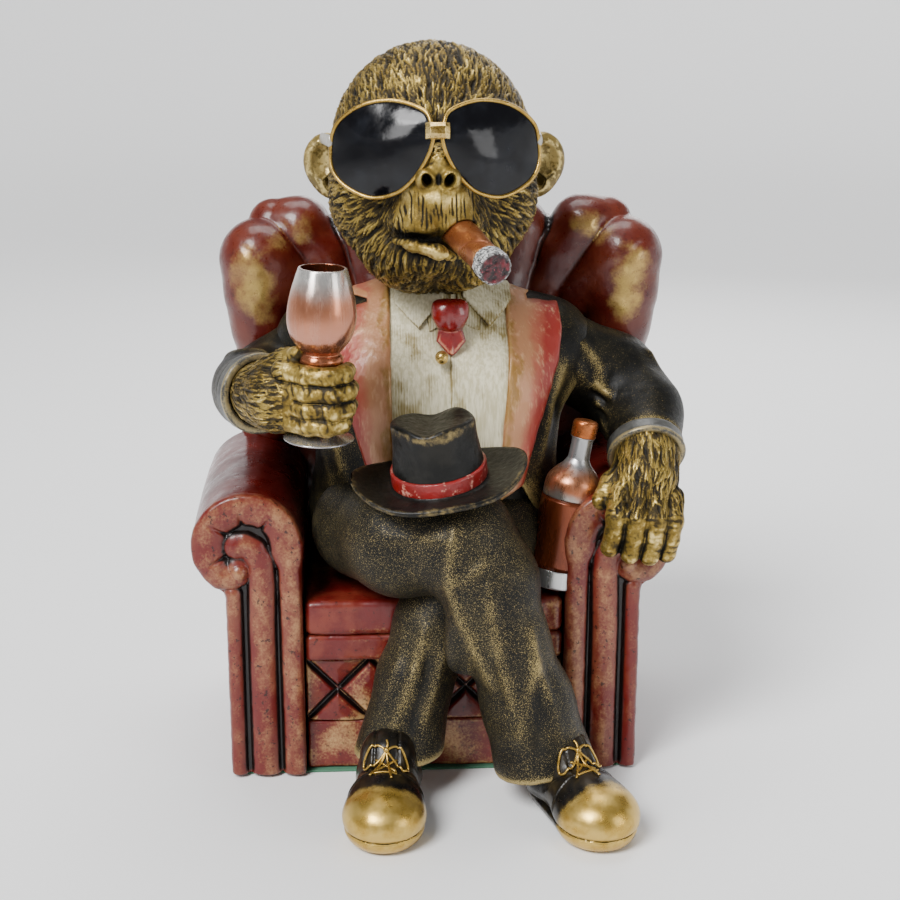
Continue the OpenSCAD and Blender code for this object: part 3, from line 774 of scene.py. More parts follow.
def paints():
    """Every finish, by name."""
    return {
        "cloth": worn_paint(
            "black_cloth", (0.002, 0.002, 0.002), (0.004, 0.004, 0.0035), (0.010, 0.009, 0.006),
            (0.30, 0.225, 0.085), (0.66, 1.2), grain=2200, lumps=60, rough=0.42, metal=0.5, stipple=1.0,
            gloss=0.14, blotch=0.6, scrape=0.3),
        "trousers": worn_paint(
            "trouser_cloth", (0.002, 0.002, 0.002), (0.006, 0.006, 0.0055), (0.012, 0.011, 0.008),
            (0.38, 0.29, 0.12), (0.66, 1.12), grain=2600, lumps=45, rough=0.45, metal=0.6, stipple=1.5,
            gloss=0.16, blotch=0.35, scrape=0.1),
        "carved": worn_paint(
            "chair_gold_red", (0.006, 0.0015, 0.001), (0.115, 0.006, 0.004), (0.16, 0.035, 0.017),
            (0.40, 0.21, 0.09), (0.46, 1.15), grain=900, lumps=75, rough=0.38, metal=0.2, coat=0.2,
            edge=0.1, specks=0.8, stretch=(1, 1, 0.45), gloss=0.4),
        "seat": worn_paint(
            "seat_gold_red", (0.006, 0.0015, 0.001), (0.115, 0.005, 0.004), (0.17, 0.024, 0.012),
            (0.46, 0.27, 0.11), (0.72, 1.25), grain=900, lumps=75, rough=0.36, metal=0.3, coat=0.2,
            edge=0.9, specks=0.6, gloss=0.4),
        "gloss": worn_paint(
            "chair_red", (0.006, 0.001, 0.001), (0.060, 0.003, 0.002), (0.11, 0.008, 0.005),
            (0.30, 0.075, 0.03), (0.95, 1.7), grain=500, lumps=30, rough=0.32, metal=0.1, coat=0.35),
        # the back's extra gold mark is a painted highlight in gold on the wings and rolls
        "back": worn_paint(
            "chair_back_red", (0.005, 0.001, 0.001), (0.075, 0.006, 0.003), (0.11, 0.018, 0.008),
            (0.50, 0.34, 0.10), (0.66, 1.60), grain=900, lumps=55, rough=0.33, metal=0.85, coat=0.25,
            worn="gold_highlight", gloss=0.35, specks=0.3, blotch=0.4, scrape=0.2, stipple=0.2),
        "gold": worn_paint(
            "gold_paint", (0.03, 0.018, 0.004), (0.36, 0.22, 0.045), (0.48, 0.31, 0.075),
            (0.80, 0.60, 0.24), (0.75, 1.15), grain=1200, lumps=120, rough=0.30, metal=0.9,
            base_metal=0.85),
        "ear": worn_paint(
            "ear_gold", (0.012, 0.009, 0.003), (0.12, 0.085, 0.022), (0.20, 0.14, 0.04),
            (0.55, 0.42, 0.16), (0.60, 1.0), grain=1200, lumps=120, rough=0.36, metal=0.6,
            base_metal=0.2, gloss=0.3),
        "red": worn_paint(
            "tie_red", (0.02, 0.001, 0.001), (0.15, 0.003, 0.003), (0.22, 0.006, 0.005),
            (0.60, 0.25, 0.14), (0.90, 1.35), grain=700, lumps=90, rough=0.28, metal=0.1, coat=0.5),
        "band": worn_paint(
            "band_red", (0.04, 0.002, 0.002), (0.24, 0.006, 0.005), (0.20, 0.010, 0.008),
            (0.66, 0.30, 0.22), (0.66, 0.95), grain=1100, lumps=110, rough=0.4, metal=0.0, coat=0.2,
            edge=0.0),
        "hat": worn_paint(
            "hat_black", (0.0015, 0.0015, 0.0015), (0.0035, 0.0035, 0.003), (0.010, 0.009, 0.007),
            (0.34, 0.25, 0.10), (0.95, 1.9), grain=1500, lumps=80, rough=0.40, metal=0.8, coat=0.05,
            worn="worn", gloss=0.2, edge=0.0),
        "grey": worn_paint(
            "cuff_grey", (0.006, 0.006, 0.006), (0.030, 0.030, 0.028), (0.060, 0.060, 0.055),
            (0.30, 0.24, 0.12), (0.74, 1.05), grain=1400, lumps=100, rough=0.38, metal=0.5, edge=0.1),
        "silver": faded_metal(
            "silver_paint", [(0.0, (0.52, 0.52, 0.52)), (0.1, (0.62, 0.62, 0.60)),
                             (0.60, (0.42, 0.38, 0.34)), (0.68, (0.42, 0.15, 0.07)),
                             (0.76, (0.44, 0.18, 0.09)), (0.84, (0.44, 0.44, 0.44))], 0.3),
        "plain_silver": worn_paint(
            "temple_silver", (0.03, 0.03, 0.03), (0.18, 0.175, 0.15), (0.26, 0.25, 0.22),
            (0.45, 0.43, 0.38), (0.7, 1.0), grain=1200, lumps=100, rough=0.4, metal=0.6),
        "copper": worn_paint(
            "copper_paint", (0.05, 0.014, 0.005), (0.40, 0.12, 0.035), (0.50, 0.17, 0.06),
            (0.80, 0.45, 0.24), (0.8, 1.25), grain=900, lumps=100, rough=0.28, metal=0.9,
            base_metal=0.85),
        "label": worn_paint(
            "label_copper", (0.03, 0.007, 0.003), (0.13, 0.025, 0.007), (0.24, 0.055, 0.018),
            (0.46, 0.17, 0.075), (0.68, 1.15), grain=700, lumps=90, rough=0.3, metal=0.6, coat=0.2,
            stretch=(1, 1, 0.25), base_metal=0.6),
        "glass": faded_metal("copper_silver", [(0.0, (0.50, 0.50, 0.51)), (0.1, (0.45, 0.42, 0.42)),
                                               (0.45, (0.40, 0.13, 0.055)), (0.62, (0.46, 0.20, 0.13)),
                                               (0.80, (0.44, 0.17, 0.09)), (0.98, (0.70, 0.68, 0.64))],
                             0.22, (0.24, 0.07, 0.03)),
        "cigar": worn_paint(
            "cigar_brown", (0.014, 0.005, 0.002), (0.17, 0.045, 0.012), (0.26, 0.080, 0.024),
            (0.55, 0.24, 0.10), (0.70, 1.15), grain=1100, lumps=120, rough=0.32, metal=0.7,
            stretch=(1, 0.3, 1), base_metal=0.5),
        "steel": worn_paint(
            "steel", (0.1, 0.1, 0.1), (0.5, 0.5, 0.5), (0.58, 0.58, 0.58), (0.7, 0.7, 0.7), (0.7, 1.0),
            grain=1500, lumps=200, rough=0.3, metal=1.0),
        "felt": worn_paint(
            "felt", (0.01, 0.03, 0.02), (0.02, 0.09, 0.05), (0.03, 0.12, 0.07), (0.06, 0.17, 0.10),
            (0.6, 1.0), grain=2500, lumps=200, rough=0.9, metal=0.0, depth=0.0003),
        "board": worn_paint(
            "plug_board", (0.10, 0.06, 0.03), (0.36, 0.24, 0.13), (0.42, 0.29, 0.17),
            (0.55, 0.40, 0.25), (0.6, 1.1), grain=600, lumps=60, rough=0.7, metal=0.0,
            stretch=(0.1, 1, 1)),
    }


# ---- hair ----

def bins_of(p, size):
    """Which points lie in each cube of the given size."""
    cell = np.floor(p / F(size)).astype(np.int64)
    order = np.lexsort(cell.T)
    cell = cell[order]
    starts = np.flatnonzero(np.r_[True, (cell[1:] != cell[:-1]).any(1)])
    ends = np.r_[starts[1:], len(order)]
    return {tuple(cell[a]): order[a:b] for a, b in zip(starts, ends)}


def around(bins, key):
    beside = (-1, 0, 1)
    cells = [(key[0] + i, key[1] + j, key[2] + k) for i in beside for j in beside for k in beside]
    return np.concatenate([bins[c] for c in cells if c in bins])


def locks(p, n, flow, spacing, half_length, half_width, seed):
    """Carved locks of hair, as a height from 0 to 1: tapering strokes along flow, laid like shingles."""
    rng = np.random.default_rng(seed)
    order = rng.permutation(len(p))
    cells = np.floor(p[order] / F(spacing)).astype(np.int64)
    chosen = order[np.unique(cells, axis=0, return_index=True)[1]]
    centre, up = p[chosen], n[chosen]
    way = flow(centre)
    way = way + rng.normal(0, 0.15, way.shape).astype(F) * length(way)[:, None]
    way = unit(way - up * np.einsum("ij,ij->i", way, up)[:, None])
    across = np.cross(up, way)
    count = len(chosen)
    half_l = (half_length * rng.uniform(0.7, 1.3, count)).astype(F)
    half_w = (half_width * rng.uniform(0.7, 1.3, count)).astype(F)
    bend = rng.normal(0, 0.16, count).astype(F)
    tall = rng.uniform(0.7, 1.0, count).astype(F)
    size = half_length * 1.3
    bins, near = bins_of(p, size), {}
    best = np.zeros(len(p), F)
    for i in range(count):
        key = tuple(np.floor(centre[i] / F(size)).astype(np.int64))
        if key not in near:
            near[key] = around(bins, key)
        spots = near[key]
        v = p[spots] - centre[i]
        t = v @ way[i] / half_l[i]
        hit = np.abs(t) < 1
        spots, v, t = spots[hit], v[hit], t[hit]
        s = v @ across[i] - bend[i] * half_l[i] * t * t
        width = half_w[i] * (1.02 - np.abs(t) ** 2.2)
        top = np.clip(1 - (s / width) ** 2, 0, 1) * (np.abs(v @ up[i]) < 2.5)
        best[spots] = np.maximum(best[spots], np.sqrt(top) * (0.66 + 0.34 * t) * tall[i])
    return best


def fur(p, n, flow, seed):
    """Clumps of hair with fine strands over them, from 0 to 1."""
    clumps = locks(p, n, flow, 3.9, 6.5, 1.25, seed)
    strands = locks(p, n, flow, 2.2, 5.2, 0.62, seed + 50)
    return clumps * 0.45 + strands * 0.55


# ---- head ----

HEAD_X = 1.5
MOUTH_LINE = [(-24, -60, 247.5), (-14, -71, 246), (-4, -77, 245.4), (6, -77, 244.5), (16, -66, 247)]
LOWER_LIP = [(-18, -63.5, 246.6, 1.0), (-9, -70, 244.7, 2.3), (1, -72.7, 242.6, 2.8),
             (7, -70.5, 240.6, 2.0)]


def head_field(p):
    m = mirrored(p, HEAD_X)
    out = egg(m, (0, -11, 277), (44, 46, 46.5))
    out = join(out, egg(m, (0, -6, 258), (38, 38, 30)), 12)
    out = join(out, egg(m, (23, -27, 257), (21, 22, 22)), 12)
    out = join(out, egg(m, (18, -44, 291), (20, 14, 9)), 8)
    out = join(out, egg(m, (10, -34, 240), (22, 25, 20.5)), 10)
    out = join(out, egg(m, (0, -10, 232), (26, 26, 22)), 10)
    # The muzzle: an upper lip hanging over the mouth, the lower jaw set back under it.
    out = join(out, egg(m, (0, -49, 261), (18, 25, 14), (-8, 0, 0)), 9)
    out = join(out, egg(m, (8, -56.5, 254), (12, 17, 8), (0, 0, -18)), 5)
    out = join(out, egg(p, (-2, -49, 238), (17, 18.5, 10)), 6)
    mouth, _ = path_gap(p, MOUTH_LINE)
    out = cut(out, mouth - 0.6, 0.7)
    out = join(out, limb(p, LOWER_LIP, 2), 2.0)
    # The nose: a flat saddle, wide wings round two slanted nostrils.
    out = join(out, egg(m, (0, -62, 277), (6.5, 9.5, 8)), 4)
    out = join(out, egg(m, (4.9, -69.3, 271.8), (4.6, 5.4, 4.8), (0, 20, 0)), 1.8)
    out = cut(out, egg(m, (4.6, -75, 271.6), (2.3, 9.0, 3.2), (0, 24, 0)), 0.7)
    for side in (-1, 1):
        line = [(HEAD_X + side * 11, -66, 273), (HEAD_X + side * 14.5, -66, 268),
                (HEAD_X + side * 16, -64, 261)]
        out = out - fold(p, line, 1.5, -1.0)
    socket = rod(p, (9, -56, 250.5, 7.0), (13, -76, 246.5, 7.6))
    return cut(out, socket, 1.2)


def head_flow(p):
    """Hair leaves the face: up over the brow, out and down over the cheeks and chin."""
    away = p - vec(HEAD_X, -52, 268)
    away[:, 2] += np.where(p[:, 2] > 285, 12, -6).astype(F)
    away[:, 1] += step(p[:, 2], 285, 320) * 30 + 8
    away[:, 2] -= step(p[:, 1], 0, 26) * 90
    return away


def bare_face(p):
    """1 on the smooth skin of the muzzle and nose."""
    muzzle = egg(p, (HEAD_X - 1, -66, 260), (17.5, 22, 14.5)) + noise(p, 4) * 1.5
    lip = egg(p, (-4, -71, 243.2), (12, 9, 3.2), (0, 13, 0))
    nose = egg(p, (HEAD_X, -70, 273), (11, 12, 6.5))
    return 1 - step(np.minimum(np.minimum(muzzle, lip), nose), -2.5, 1.5)


def head_carve(p, n):
    hair = fur(p, n, head_flow, 11)
    bare = bare_face(p)
    between = step(p[:, 2], 249, 253) * (1 - step(p[:, 2], 265, 269))
    broken = step(noise(p * vec(1, 1, 0.35), 2.4), -0.25, 0.35)
    waver = noise(p * vec(1, 1, 0.4), 5) * 1.6
    lines = np.minimum(np.sin((p[:, 0] + waver) * 3.9), 0) * between * broken
    skin = noise(p, 1.6, 2) * 0.12 + lines * 0.22
    relief = (0.60 + lines * 0.45 + noise(p, 5) * 0.12) * bare + hair * (1 - bare)
    return (hair * 2.3 - 1.1) * (1 - bare) + skin * bare, {"relief": relief, "bare": bare}


def make_head(hair_paint):
    sculpt("head", head_field, (-50, -90, 208), (54, 42, 328), 1.0, hair_paint, "fur", head_carve)


def ear_field(side):
    def field(p):
        q = sided(p, HEAD_X + 1.5, side)
        out = egg(q, (46.5, -6, 270.5), (11.5, 5.5, 13.5), (0, 12, 8))
        out = join(out, egg(q, (44, -5, 262), (7, 6, 7)), 5)
        out = cut(out, egg(q, (49, -12.5, 272), (6.8, 6.5, 8.5), (0, 12, 14)), 1.6)
        return cut(out, egg(q, (45.5, -12, 263.5), (3.4, 5, 4.2), (0, -15, 14)), 1.4)
    return field


def make_ears(paint):
    for side, name, x0, x1 in ((-1, "right_ear", -61, -33), (1, "left_ear", 36, 64)):
        sculpt(name, ear_field(side), (x0, -18, 252), (x1, 4, 288), 0.8, paint, "gold_paint", skin_carve)


def skin_carve(p, n):
    rough = noise(p, 1.3, 2)
    return rough * 0.12, {"relief": 0.5 + rough * 0.5}


# ---- spectacles ----

# One rim as (x from the nose, y, z), from the outer corner over the top: a full teardrop.
RIM = [(43.5, -50, 281), (41, -52, 292), (31, -56, 300), (18, -60, 302.5), (6, -66.5, 299.5),
       (2.6, -70, 294.5), (2.0, -71.5, 287.5), (4.8, -70.5, 279.5), (10, -68.5, 271.5),
       (17, -65.5, 265.6), (27, -61, 263.2), (37, -56, 267), (42.5, -52, 273)]
RIM_X = 1.2
LENS_DOME = 4.5


def rim_loop(side):
    loop = curve(RIM, 8, True)
    loop[:, 0] = RIM_X + side * loop[:, 0]
    return loop


def lens_shape(loop):
    """A shallow dome inside a rim, closed behind."""
    centre = loop.mean(0)
    out = unit(np.cross(loop[20] - centre, loop[50] - centre)[None])[0]
    out = out * -np.sign(out[1])
    bow = (loop - centre) @ out
    flat = loop - centre - bow[:, None] * out
    front = [(s, LENS_DOME * (1 - s * s)) for s in np.linspace(0.04, 0.995, 18)]
    behind = [(s, LENS_DOME * (1 - s * s) * 0.8 - 1.4) for s in np.linspace(0.99, 0.05, 8)]
    rows = [centre + flat * F(s) + out * (lift + bow * s ** 3)[:, None] for s, lift in front + behind]
    verts = np.concatenate(rows).astype(F)
    verts = verts + out * (noise(verts, 7, 1) * 0.16)[:, None]
    return capped(verts, len(loop), centre + out * F(LENS_DOME), centre + out * F(LENS_DOME * 0.8 - 1.4))


def bridge_field(p):
    q = turned(p, (RIM_X, -71.5, 291.5), (-12, 0, 0))
    x, z = np.abs(q[:, 0]), np.abs(q[:, 2])
    front = -3.4 + np.maximum(x - 3.0, 0) + np.maximum(z - 1.5, 0) - q[:, 1]
    return both(np.maximum(np.maximum(x - 5, z - 3.3), q[:, 1] - 2), front * 0.7, 0.2)


def temple_field(side):
    """A flat bar from the rim to the ear, twice as tall as it is thick."""
    def field(p):
        q = sided(p, RIM_X, side) * vec(1, 1, 0.5)
        return rod(q, (43.5, -50, 142.5, 1.3), (47.5, -10, 141, 1.2))
    return field


def make_spectacles(gold, black, silver):
    rims = []
    for side, word in ((-1, "right"), (1, "left")):
        loop = rim_loop(side)
        rims.append(tube(loop, 0.85, 10, True))
        place(mesh_object(word + "_lens", *lens_shape(loop)), black, word + "_lens", "gloss_black")
    place(mesh_object("spectacle_frame", *pile(*rims)), gold, "spectacle_frame", "gold_paint")
    sculpt("spectacle_bridge", bridge_field, (-6, -76, 286), (9, -66, 297), 0.5, gold, "gold_paint")
    for side, word in ((-1, "right"), (1, "left")):
        x0, x1 = sorted((RIM_X + side * 40, RIM_X + side * 52))
        sculpt(word + "_temple", temple_field(side), (x0, -54, 276), (x1, -6, 294), 0.8, silver,
               "silver_paint")


# ---- cigar ----

MOUTH, CIGAR_TIP = (9, -60, 250), (22, -105.5, 241.5)
CIGAR_L = math.dist(MOUTH, CIGAR_TIP)
CIGAR_R, ASH_L = 6.6, 8


def along_cigar(p):
    q = turned(p, MOUTH, along(MOUTH, CIGAR_TIP))
    return q, np.hypot(q[:, 0], q[:, 1]), q[:, 2]


def cigar_field(low, high, bulge=0.0):
    def field(p):
        _, r, z = along_cigar(p)
        wide = CIGAR_R + bulge + 0.3 * np.sin(z * 0.13)
        return both(r - wide.astype(F), np.maximum(F(low) - z, z - F(high)), 0.8)
    return field


def leaf_carve(p, n):
    """Tobacco leaf: long veins that wind round the cigar."""
    q, _, z = along_cigar(p)
    turn = np.arctan2(q[:, 1], q[:, 0])
    veins = np.sin(turn * 5 + z * 0.16 + noise(p, 6) * 2)
    wrap = np.abs(((turn / np.pi + z / 17) % 2) - 1) < 0.05
    return veins * 0.10 + noise(p, 2) * 0.12 - wrap * 0.25, {"relief": 0.5 + veins * 0.3}


def ash_carve(p, n):
    """A crust of ash round a rough ember on the cut end."""
    _, r, z = along_cigar(p)
    ember = step(z, CIGAR_L - 1.9, CIGAR_L - 1.0) * (1 - step(r, 5.6, 6.6))
    crumbs = noise(p, 1.8, 2)
    return crumbs * (0.35 + 0.45 * ember) + ember * 0.5, {"relief": 0.5 + crumbs * 0.5, "ember": ember}


def make_cigar(brown, ash):
    cut_at = CIGAR_L - ASH_L
    sculpt("cigar", cigar_field(0, cut_at), (-2, -104, 232), (30, -54, 260), 0.9, brown,
           "cigar_brown", leaf_carve)
    sculpt("cigar_ash", cigar_field(cut_at, CIGAR_L, 0.5), (8, -112, 230), (32, -92, 254), 0.6, ash,
           "ash", ash_carve)


# ---- jacket, shirt and tie ----

def body_field(p):
    out = rod(p, (-20, -18, 172, 31), (26, -18, 170, 31))
    out = join(out, rod(p, (-14, -17, 130, 35), (20, -17, 128, 35)), 25)
    out = join(out, rod(p, (-46, -4, 188, 22), (3, -8, 200, 21)), 14)
    out = join(out, rod(p, (52, -4, 186, 22), (3, -8, 200, 21)), 14)
    return join(out, rod(p, (-28, -14, 106, 25), (32, -14, 106, 25)), 18)


SHIRT = [(-21, 226), (-23, 190), (-22, 132), (31, 132), (38, 190), (37, 226)]
RIGHT_LAPEL = [(-17, 226), (-31, 221), (-38, 214), (-28, 212.6), (-28, 211.6), (-42, 208), (-42, 190),
               (-35, 162), (-28, 138), (-19, 130), (-17, 130), (-18, 190), (-18, 226)]
LEFT_LAPEL = [(33, 226), (44, 222), (53, 214.5), (44, 212.5), (44, 211), (58, 208.5), (59, 200),
              (57, 186), (47, 158), (40, 134), (30, 128), (28, 130), (33.5, 190)]
OPENING = [(-18, 150), (-26, 138), (-62, 84), (66, 84), (40, 132), (28, 150)]


def torso_field(p):
    """The jacket: one layer over the body, open in front below the lapels."""
    body = body_field(p)
    x, z = p[:, 0], p[:, 2]
    gap = np.minimum(outline(x, z, OPENING), outline(x, z, SHIRT))
    gap = np.maximum(gap, p[:, 1] + 10)
    coat = both(body - 2, -gap, 0.8)
    return both(np.minimum(body + 0.6, coat), 80 - z, 1)


def torso_carve(p, n):
    folds = (fold(p, [(-58, -20, 178), (-44, -42, 158), (-40, -46, 136)], 3, 1.2)
             + fold(p, [(60, -22, 190), (54, -38, 168), (50, -44, 140)], 3, 1.3)
             + fold(p, [(66, -14, 184), (60, -30, 160), (57, -32, 130)], 3.5, 1.2)
             + fold(p, [(-52, -34, 150), (-46, -42, 130), (-50, -40, 108)], 3, 1.0))
    return folds + noise(p, 3) * 0.08, {"relief": 0.5 + folds * 0.4}


def layer(shape, low, high, round_by=1.0):
    """A layer of clothing over the body, from one depth to another, inside an outline in X and Z."""
    def field(p):
        body = body_field(p)
        flat = outline(p[:, 0], p[:, 2], shape)
        front = p[:, 1] + 8
        return both(np.maximum(np.maximum(F(low) - body, flat * 0.9), front), body - F(high), round_by)
    return field


def shirt_carve(p, n):
    """Fine upright weave, and the placket's edge down the middle."""
    x = p[:, 0]
    edge = step(x, 7.6, 8.4) * 0.55
    weave = np.sin(x * 5.2 + noise(p, 4) * 2) * 0.07
    swell = noise(p * vec(1, 1, 0.5), 9) * 0.35
    seam = np.exp(-((x - 8) / 0.5) ** 2).astype(F) * 0.6
    return edge + weave + swell, {"relief": 0.5 + weave * 3 + swell - seam}


def lapel_carve(p, n):
    streak = noise(p * vec(1, 1, 0.35), 2.2, 2)
    return streak * 0.14 + noise(p, 9) * 0.4, {"relief": 0.5 + streak * 0.5, "inner": inner_lapel(p)}


def inner_lapel(p):
    """1 beside the shirt, 0 at the lapel's outer edge."""
    x, z = p[:, 0], p[:, 2]
    middle = 5 + (z - 190) * 0.03
    out = np.abs(x - middle)
    edge = np.where(x < middle, 47, 53) - np.clip(190 - z, 0, 60) * 0.22
    start = np.where(x < middle, 23, 28)
    return 1 - step((out - start) / (edge - start), 0.05, 0.95)


COLLAR_LEAF = [(3, 226), (4, 215), (15.6, 202.5), (26, 212), (25, 230)]
COLLAR_STAND = [(1, 224), (2, 205), (11, 201), (15, 224)]


def collar_field(p):
    """A pointed leaf each side of the tie, over a lower stand."""
    body = body_field(p)
    parts = []
    for side in (-1, 1):
        q = sided(p, 10, side)
        for shape, low, high, round_by in ((COLLAR_LEAF, 0.5, 3.6, 1.2), (COLLAR_STAND, 0.4, 2.4, 0.8)):
            flat = np.maximum(F(low) - body, outline(q[:, 0], q[:, 2], shape))
            parts.append(both(np.maximum(flat, p[:, 1] + 8), body - F(high), round_by))
    return np.minimum.reduce(parts)


KNOT = [(-1, 219), (17, 219), (16, 211), (13.2, 204.8), (2.8, 204.8), (0, 211)]
TIE_TAIL = [(2.8, 206), (13.2, 206), (14.8, 201), (8.6, 193.4), (1.8, 201)]


def tie_field(p):
    """The outlines above are of the tie before it is moved back against the shirt."""
    p = p - vec(0, 9, -2.7)
    knot = egg(p, (8, -49, 212), (9.5, 7, 9))
    knot = both(knot, outline(p[:, 0], p[:, 2], KNOT), 2)
    knot = knot - fold(p, [(8, -57, 220), (8, -57, 214), (8, -55, 206)], 1.2, -0.9)
    tail = both(crate(p, (8, -50, 202), (8, 3.8, 8.5), 2.5, (-6, 0, 0)),
                outline(p[:, 0], p[:, 2], TIE_TAIL), 1.2)
    tail = tail - fold(p, [(8.5, -55, 205), (8.5, -55, 194)], 0.8, 0.5)
    return join(knot, tail, 0.7)


def button_field(p):
    return join(egg(p, (4, -50, 192.2), (2.7, 2.0, 2.7)), egg(p, (4, -48, 192.2), (2.9, 1.8, 2.9)), 0.4)


def make_clothes(cloth, white, lapel_red, red, gold):
    sculpt("torso", torso_field, (-74, -58, 79), (80, 24, 224), 1.5, cloth, "black_cloth", torso_carve)
    sculpt("shirt_front", layer(SHIRT, -1.5, 1.4), (-25, -58, 130), (40, -10, 228), 1.0, white,
           "shirt_white", shirt_carve)
    sculpt("shirt_collar", collar_field, (-20, -58, 198), (40, -8, 230), 0.8, white, "shirt_white",
           shirt_carve)
    for name, shape, low, high in (("right_lapel", RIGHT_LAPEL, (-46, -58, 126), (-12, -6, 228)),
                                   ("left_lapel", LEFT_LAPEL, (24, -58, 124), (64, -6, 228))):
        sculpt(name, layer(shape, -1, 3.4, 1.6), low, high, 1.0, lapel_red, "lapel_red", lapel_carve)
    sculpt("necktie", tie_field, (-3, -60, 190), (19, -40, 222), 0.7, red, "tie_red")
    sculpt("shirt_button", button_field, (0, -54, 188), (8, -45, 197), 0.5, gold, "gold_paint")


# ---- sleeves and cuffs ----

RIGHT_ARM = [(-48, -4, 186, 21), (-72, -1, 170, 18), (-79, -28, 174, 16), (-78, -50, 179, 15.5)]
LEFT_ARM = [(56, -4, 184, 21), (86, 1, 170, 19), (97, -16, 157, 17.5), (97, -33, 150, 16)]
# Each wrist as its centre and a point further along the hand.
RIGHT_WRIST = ((-77, -52, 179), (-68, -71, 181))
LEFT_WRIST = ((96, -35, 148), (96, -49, 140))
CUFF_R, CUFF_L = 17.2, 7.5


def wrist_axes(p, wrist):
    """p seen from the wrist, with Z towards the hand."""
    return turned(p, wrist[0], along(*wrist))


def sleeve_field(arm, wrist):
    def field(p):
        return both(limb(p, arm, 9), wrist_axes(p, wrist)[:, 2] - 1, 1.5)
    return field


def right_sleeve_carve(p, n):
    loop = [(-56, -27, 193), (-50, -28, 184), (-55, -28, 174), (-62, -26, 176), (-63, -25, 186),
            (-57, -27, 193)]
    ring, _ = path_gap(p, loop)
    inside = 1 - step(length((p - vec(-57, -27, 183)) * vec(1, 0.4, 0.6)), 3.5, 6)
    folds = (np.exp(-(ring / 1.8) ** 2) * 1.8 - inside * 1.8
             + fold(p, [(-92, -18, 186), (-84, -30, 190), (-70, -36, 192)], 2.6, 1.4)
             + fold(p, [(-94, -26, 172), (-88, -38, 178), (-76, -44, 190)], 2.2, 1.2)
             + fold(p, [(-70, -18, 196), (-62, -22, 200), (-50, -24, 202)], 2.6, 1.2))
    return folds + noise(p, 3) * 0.1, {"relief": 0.45 + folds * 0.35}


def left_sleeve_carve(p, n):
    folds = (fold(p, [(66, -22, 196), (76, -20, 180), (80, -18, 160)], 3, 1.6)
             + fold(p, [(72, -22, 174), (84, -24, 166), (98, -28, 170)], 2.6, 2.2)
             + fold(p, [(74, -20, 166), (86, -28, 157), (104, -32, 160)], 2.4, 2.0)
             + fold(p, [(78, -22, 158), (84, -32, 149), (96, -42, 150)], 2.2, 1.5)
             + fold(p, [(72, -21, 170), (84, -25, 161), (100, -29, 165)], 2.2, -1.8)
             + fold(p, [(76, -21, 162), (85, -30, 153), (100, -36, 156)], 2.0, -1.6)
             + fold(p, [(100, -4, 186), (104, -10, 174), (110, -16, 162)], 3, 1.4)
             + fold(p, [(66, -24, 184), (72, -24, 168), (72, -22, 150)], 3, 1.2))
    return folds + noise(p, 3) * 0.1, {"relief": 0.45 + folds * 0.3}


def cuff_field(wrist):
    def field(p):
        q = wrist_axes(p, wrist)
        ring = np.abs(np.hypot(q[:, 0], q[:, 1]) - F(CUFF_R - 1.5)) - 1.6
        return both(ring, np.abs(q[:, 2] - F(CUFF_L / 2)) - F(CUFF_L / 2), 1.4)
    return field


def cuff_carve(wrist):
    def carve(p, n):
        lip = step(wrist_axes(p, wrist)[:, 2], 4.6, 6.4)
        return noise(p, 3) * 0.15 + lip * 0.3, {"relief": 0.35 + lip * 0.6}
    return carve


def make_sleeves(cloth, grey):
    sculpt("right_sleeve", sleeve_field(RIGHT_ARM, RIGHT_WRIST), (-104, -62, 148), (-26, 24, 214), 1.4,
           cloth, "black_cloth", right_sleeve_carve)
    sculpt("left_sleeve", sleeve_field(LEFT_ARM, LEFT_WRIST), (34, -54, 132), (118, 26, 212), 1.4,
           cloth, "black_cloth", left_sleeve_carve)
    for name, wrist, low, high in (("right_cuff", RIGHT_WRIST, (-98, -72, 158), (-54, -40, 202)),
                                   ("left_cuff", LEFT_WRIST, (76, -58, 124), (116, -26, 166))):
        sculpt(name, cuff_field(wrist), low, high, 0.9, grey, "cuff_grey", cuff_carve(wrist))


# ---- hands ----

def right_finger(i):
    """The stacked fingers that close round the stem, from the highest down."""
    z = (196.6, 189.4, 182.2, 175.8)[i]
    reach = (0, 1.2, 0.6, -1.5)[i]
    return [(-63, -88, z + 0.5, 4.5), (-53, -96, z, 4.1), (-44 + reach, -98.3, z - 0.2, 3.9),
            (-38 + reach, -94.5, z, 3.8), (-36.5 + reach, -87, z, 3.5)]


RIGHT_PALM = [(-77, -52, 179.5, 12), (-71, -68, 182, 12.5), (-64, -80, 184, 12.5), (-60, -84, 184, 11)]


def right_hand_field(p):
    out = limb(p, RIGHT_PALM, 6)
    out = join(out, egg(p, (-66, -76, 184), (11, 14, 15.5)), 5)
    for i in range(4):
        out = join(out, limb(p, right_finger(i), 1.5), 0.5)
    thumb = limb(p, [(-68, -74, 194, 6), (-62, -80, 199, 5), (-57, -86, 203, 3.8)], 3)
    return join(out, thumb, 2.5)


def right_hand_flow(p):
    return p - vec(-86, -58, 182) + vec(3, -4, 0)


def right_fingers(p):
    """1 on the bare fingers."""
    return step(p[:, 0], -66, -60) * (1 - step(p[:, 1], -84, -78))


def wrinkles(p, way, pitch):
    """Short broken creases across a finger, 0 down to -1."""
    lines = np.minimum(np.sin((p @ vec(*way) + noise(p, 3) * 1.4) * F(2 * np.pi / pitch)), 0)
    return lines * step(noise(p, 3.1), -0.3, 0.3)


def hand_carve(p, n, flow, bare, creases, height, seed):
    """Hair on the back of the hand, creased skin on the bare fingers."""
    hair = fur(p, n, flow, seed)
    rough = noise(p, 2.2, 3)
    skin = rough * 0.12 + creases * 0.05
    skin_relief = 0.56 + creases * 0.16 + rough * 0.24
    return (hair * height - height / 2) * (1 - bare) + skin * bare, {
        "relief": np.where(bare > 0.5, skin_relief, hair), "bare": bare}


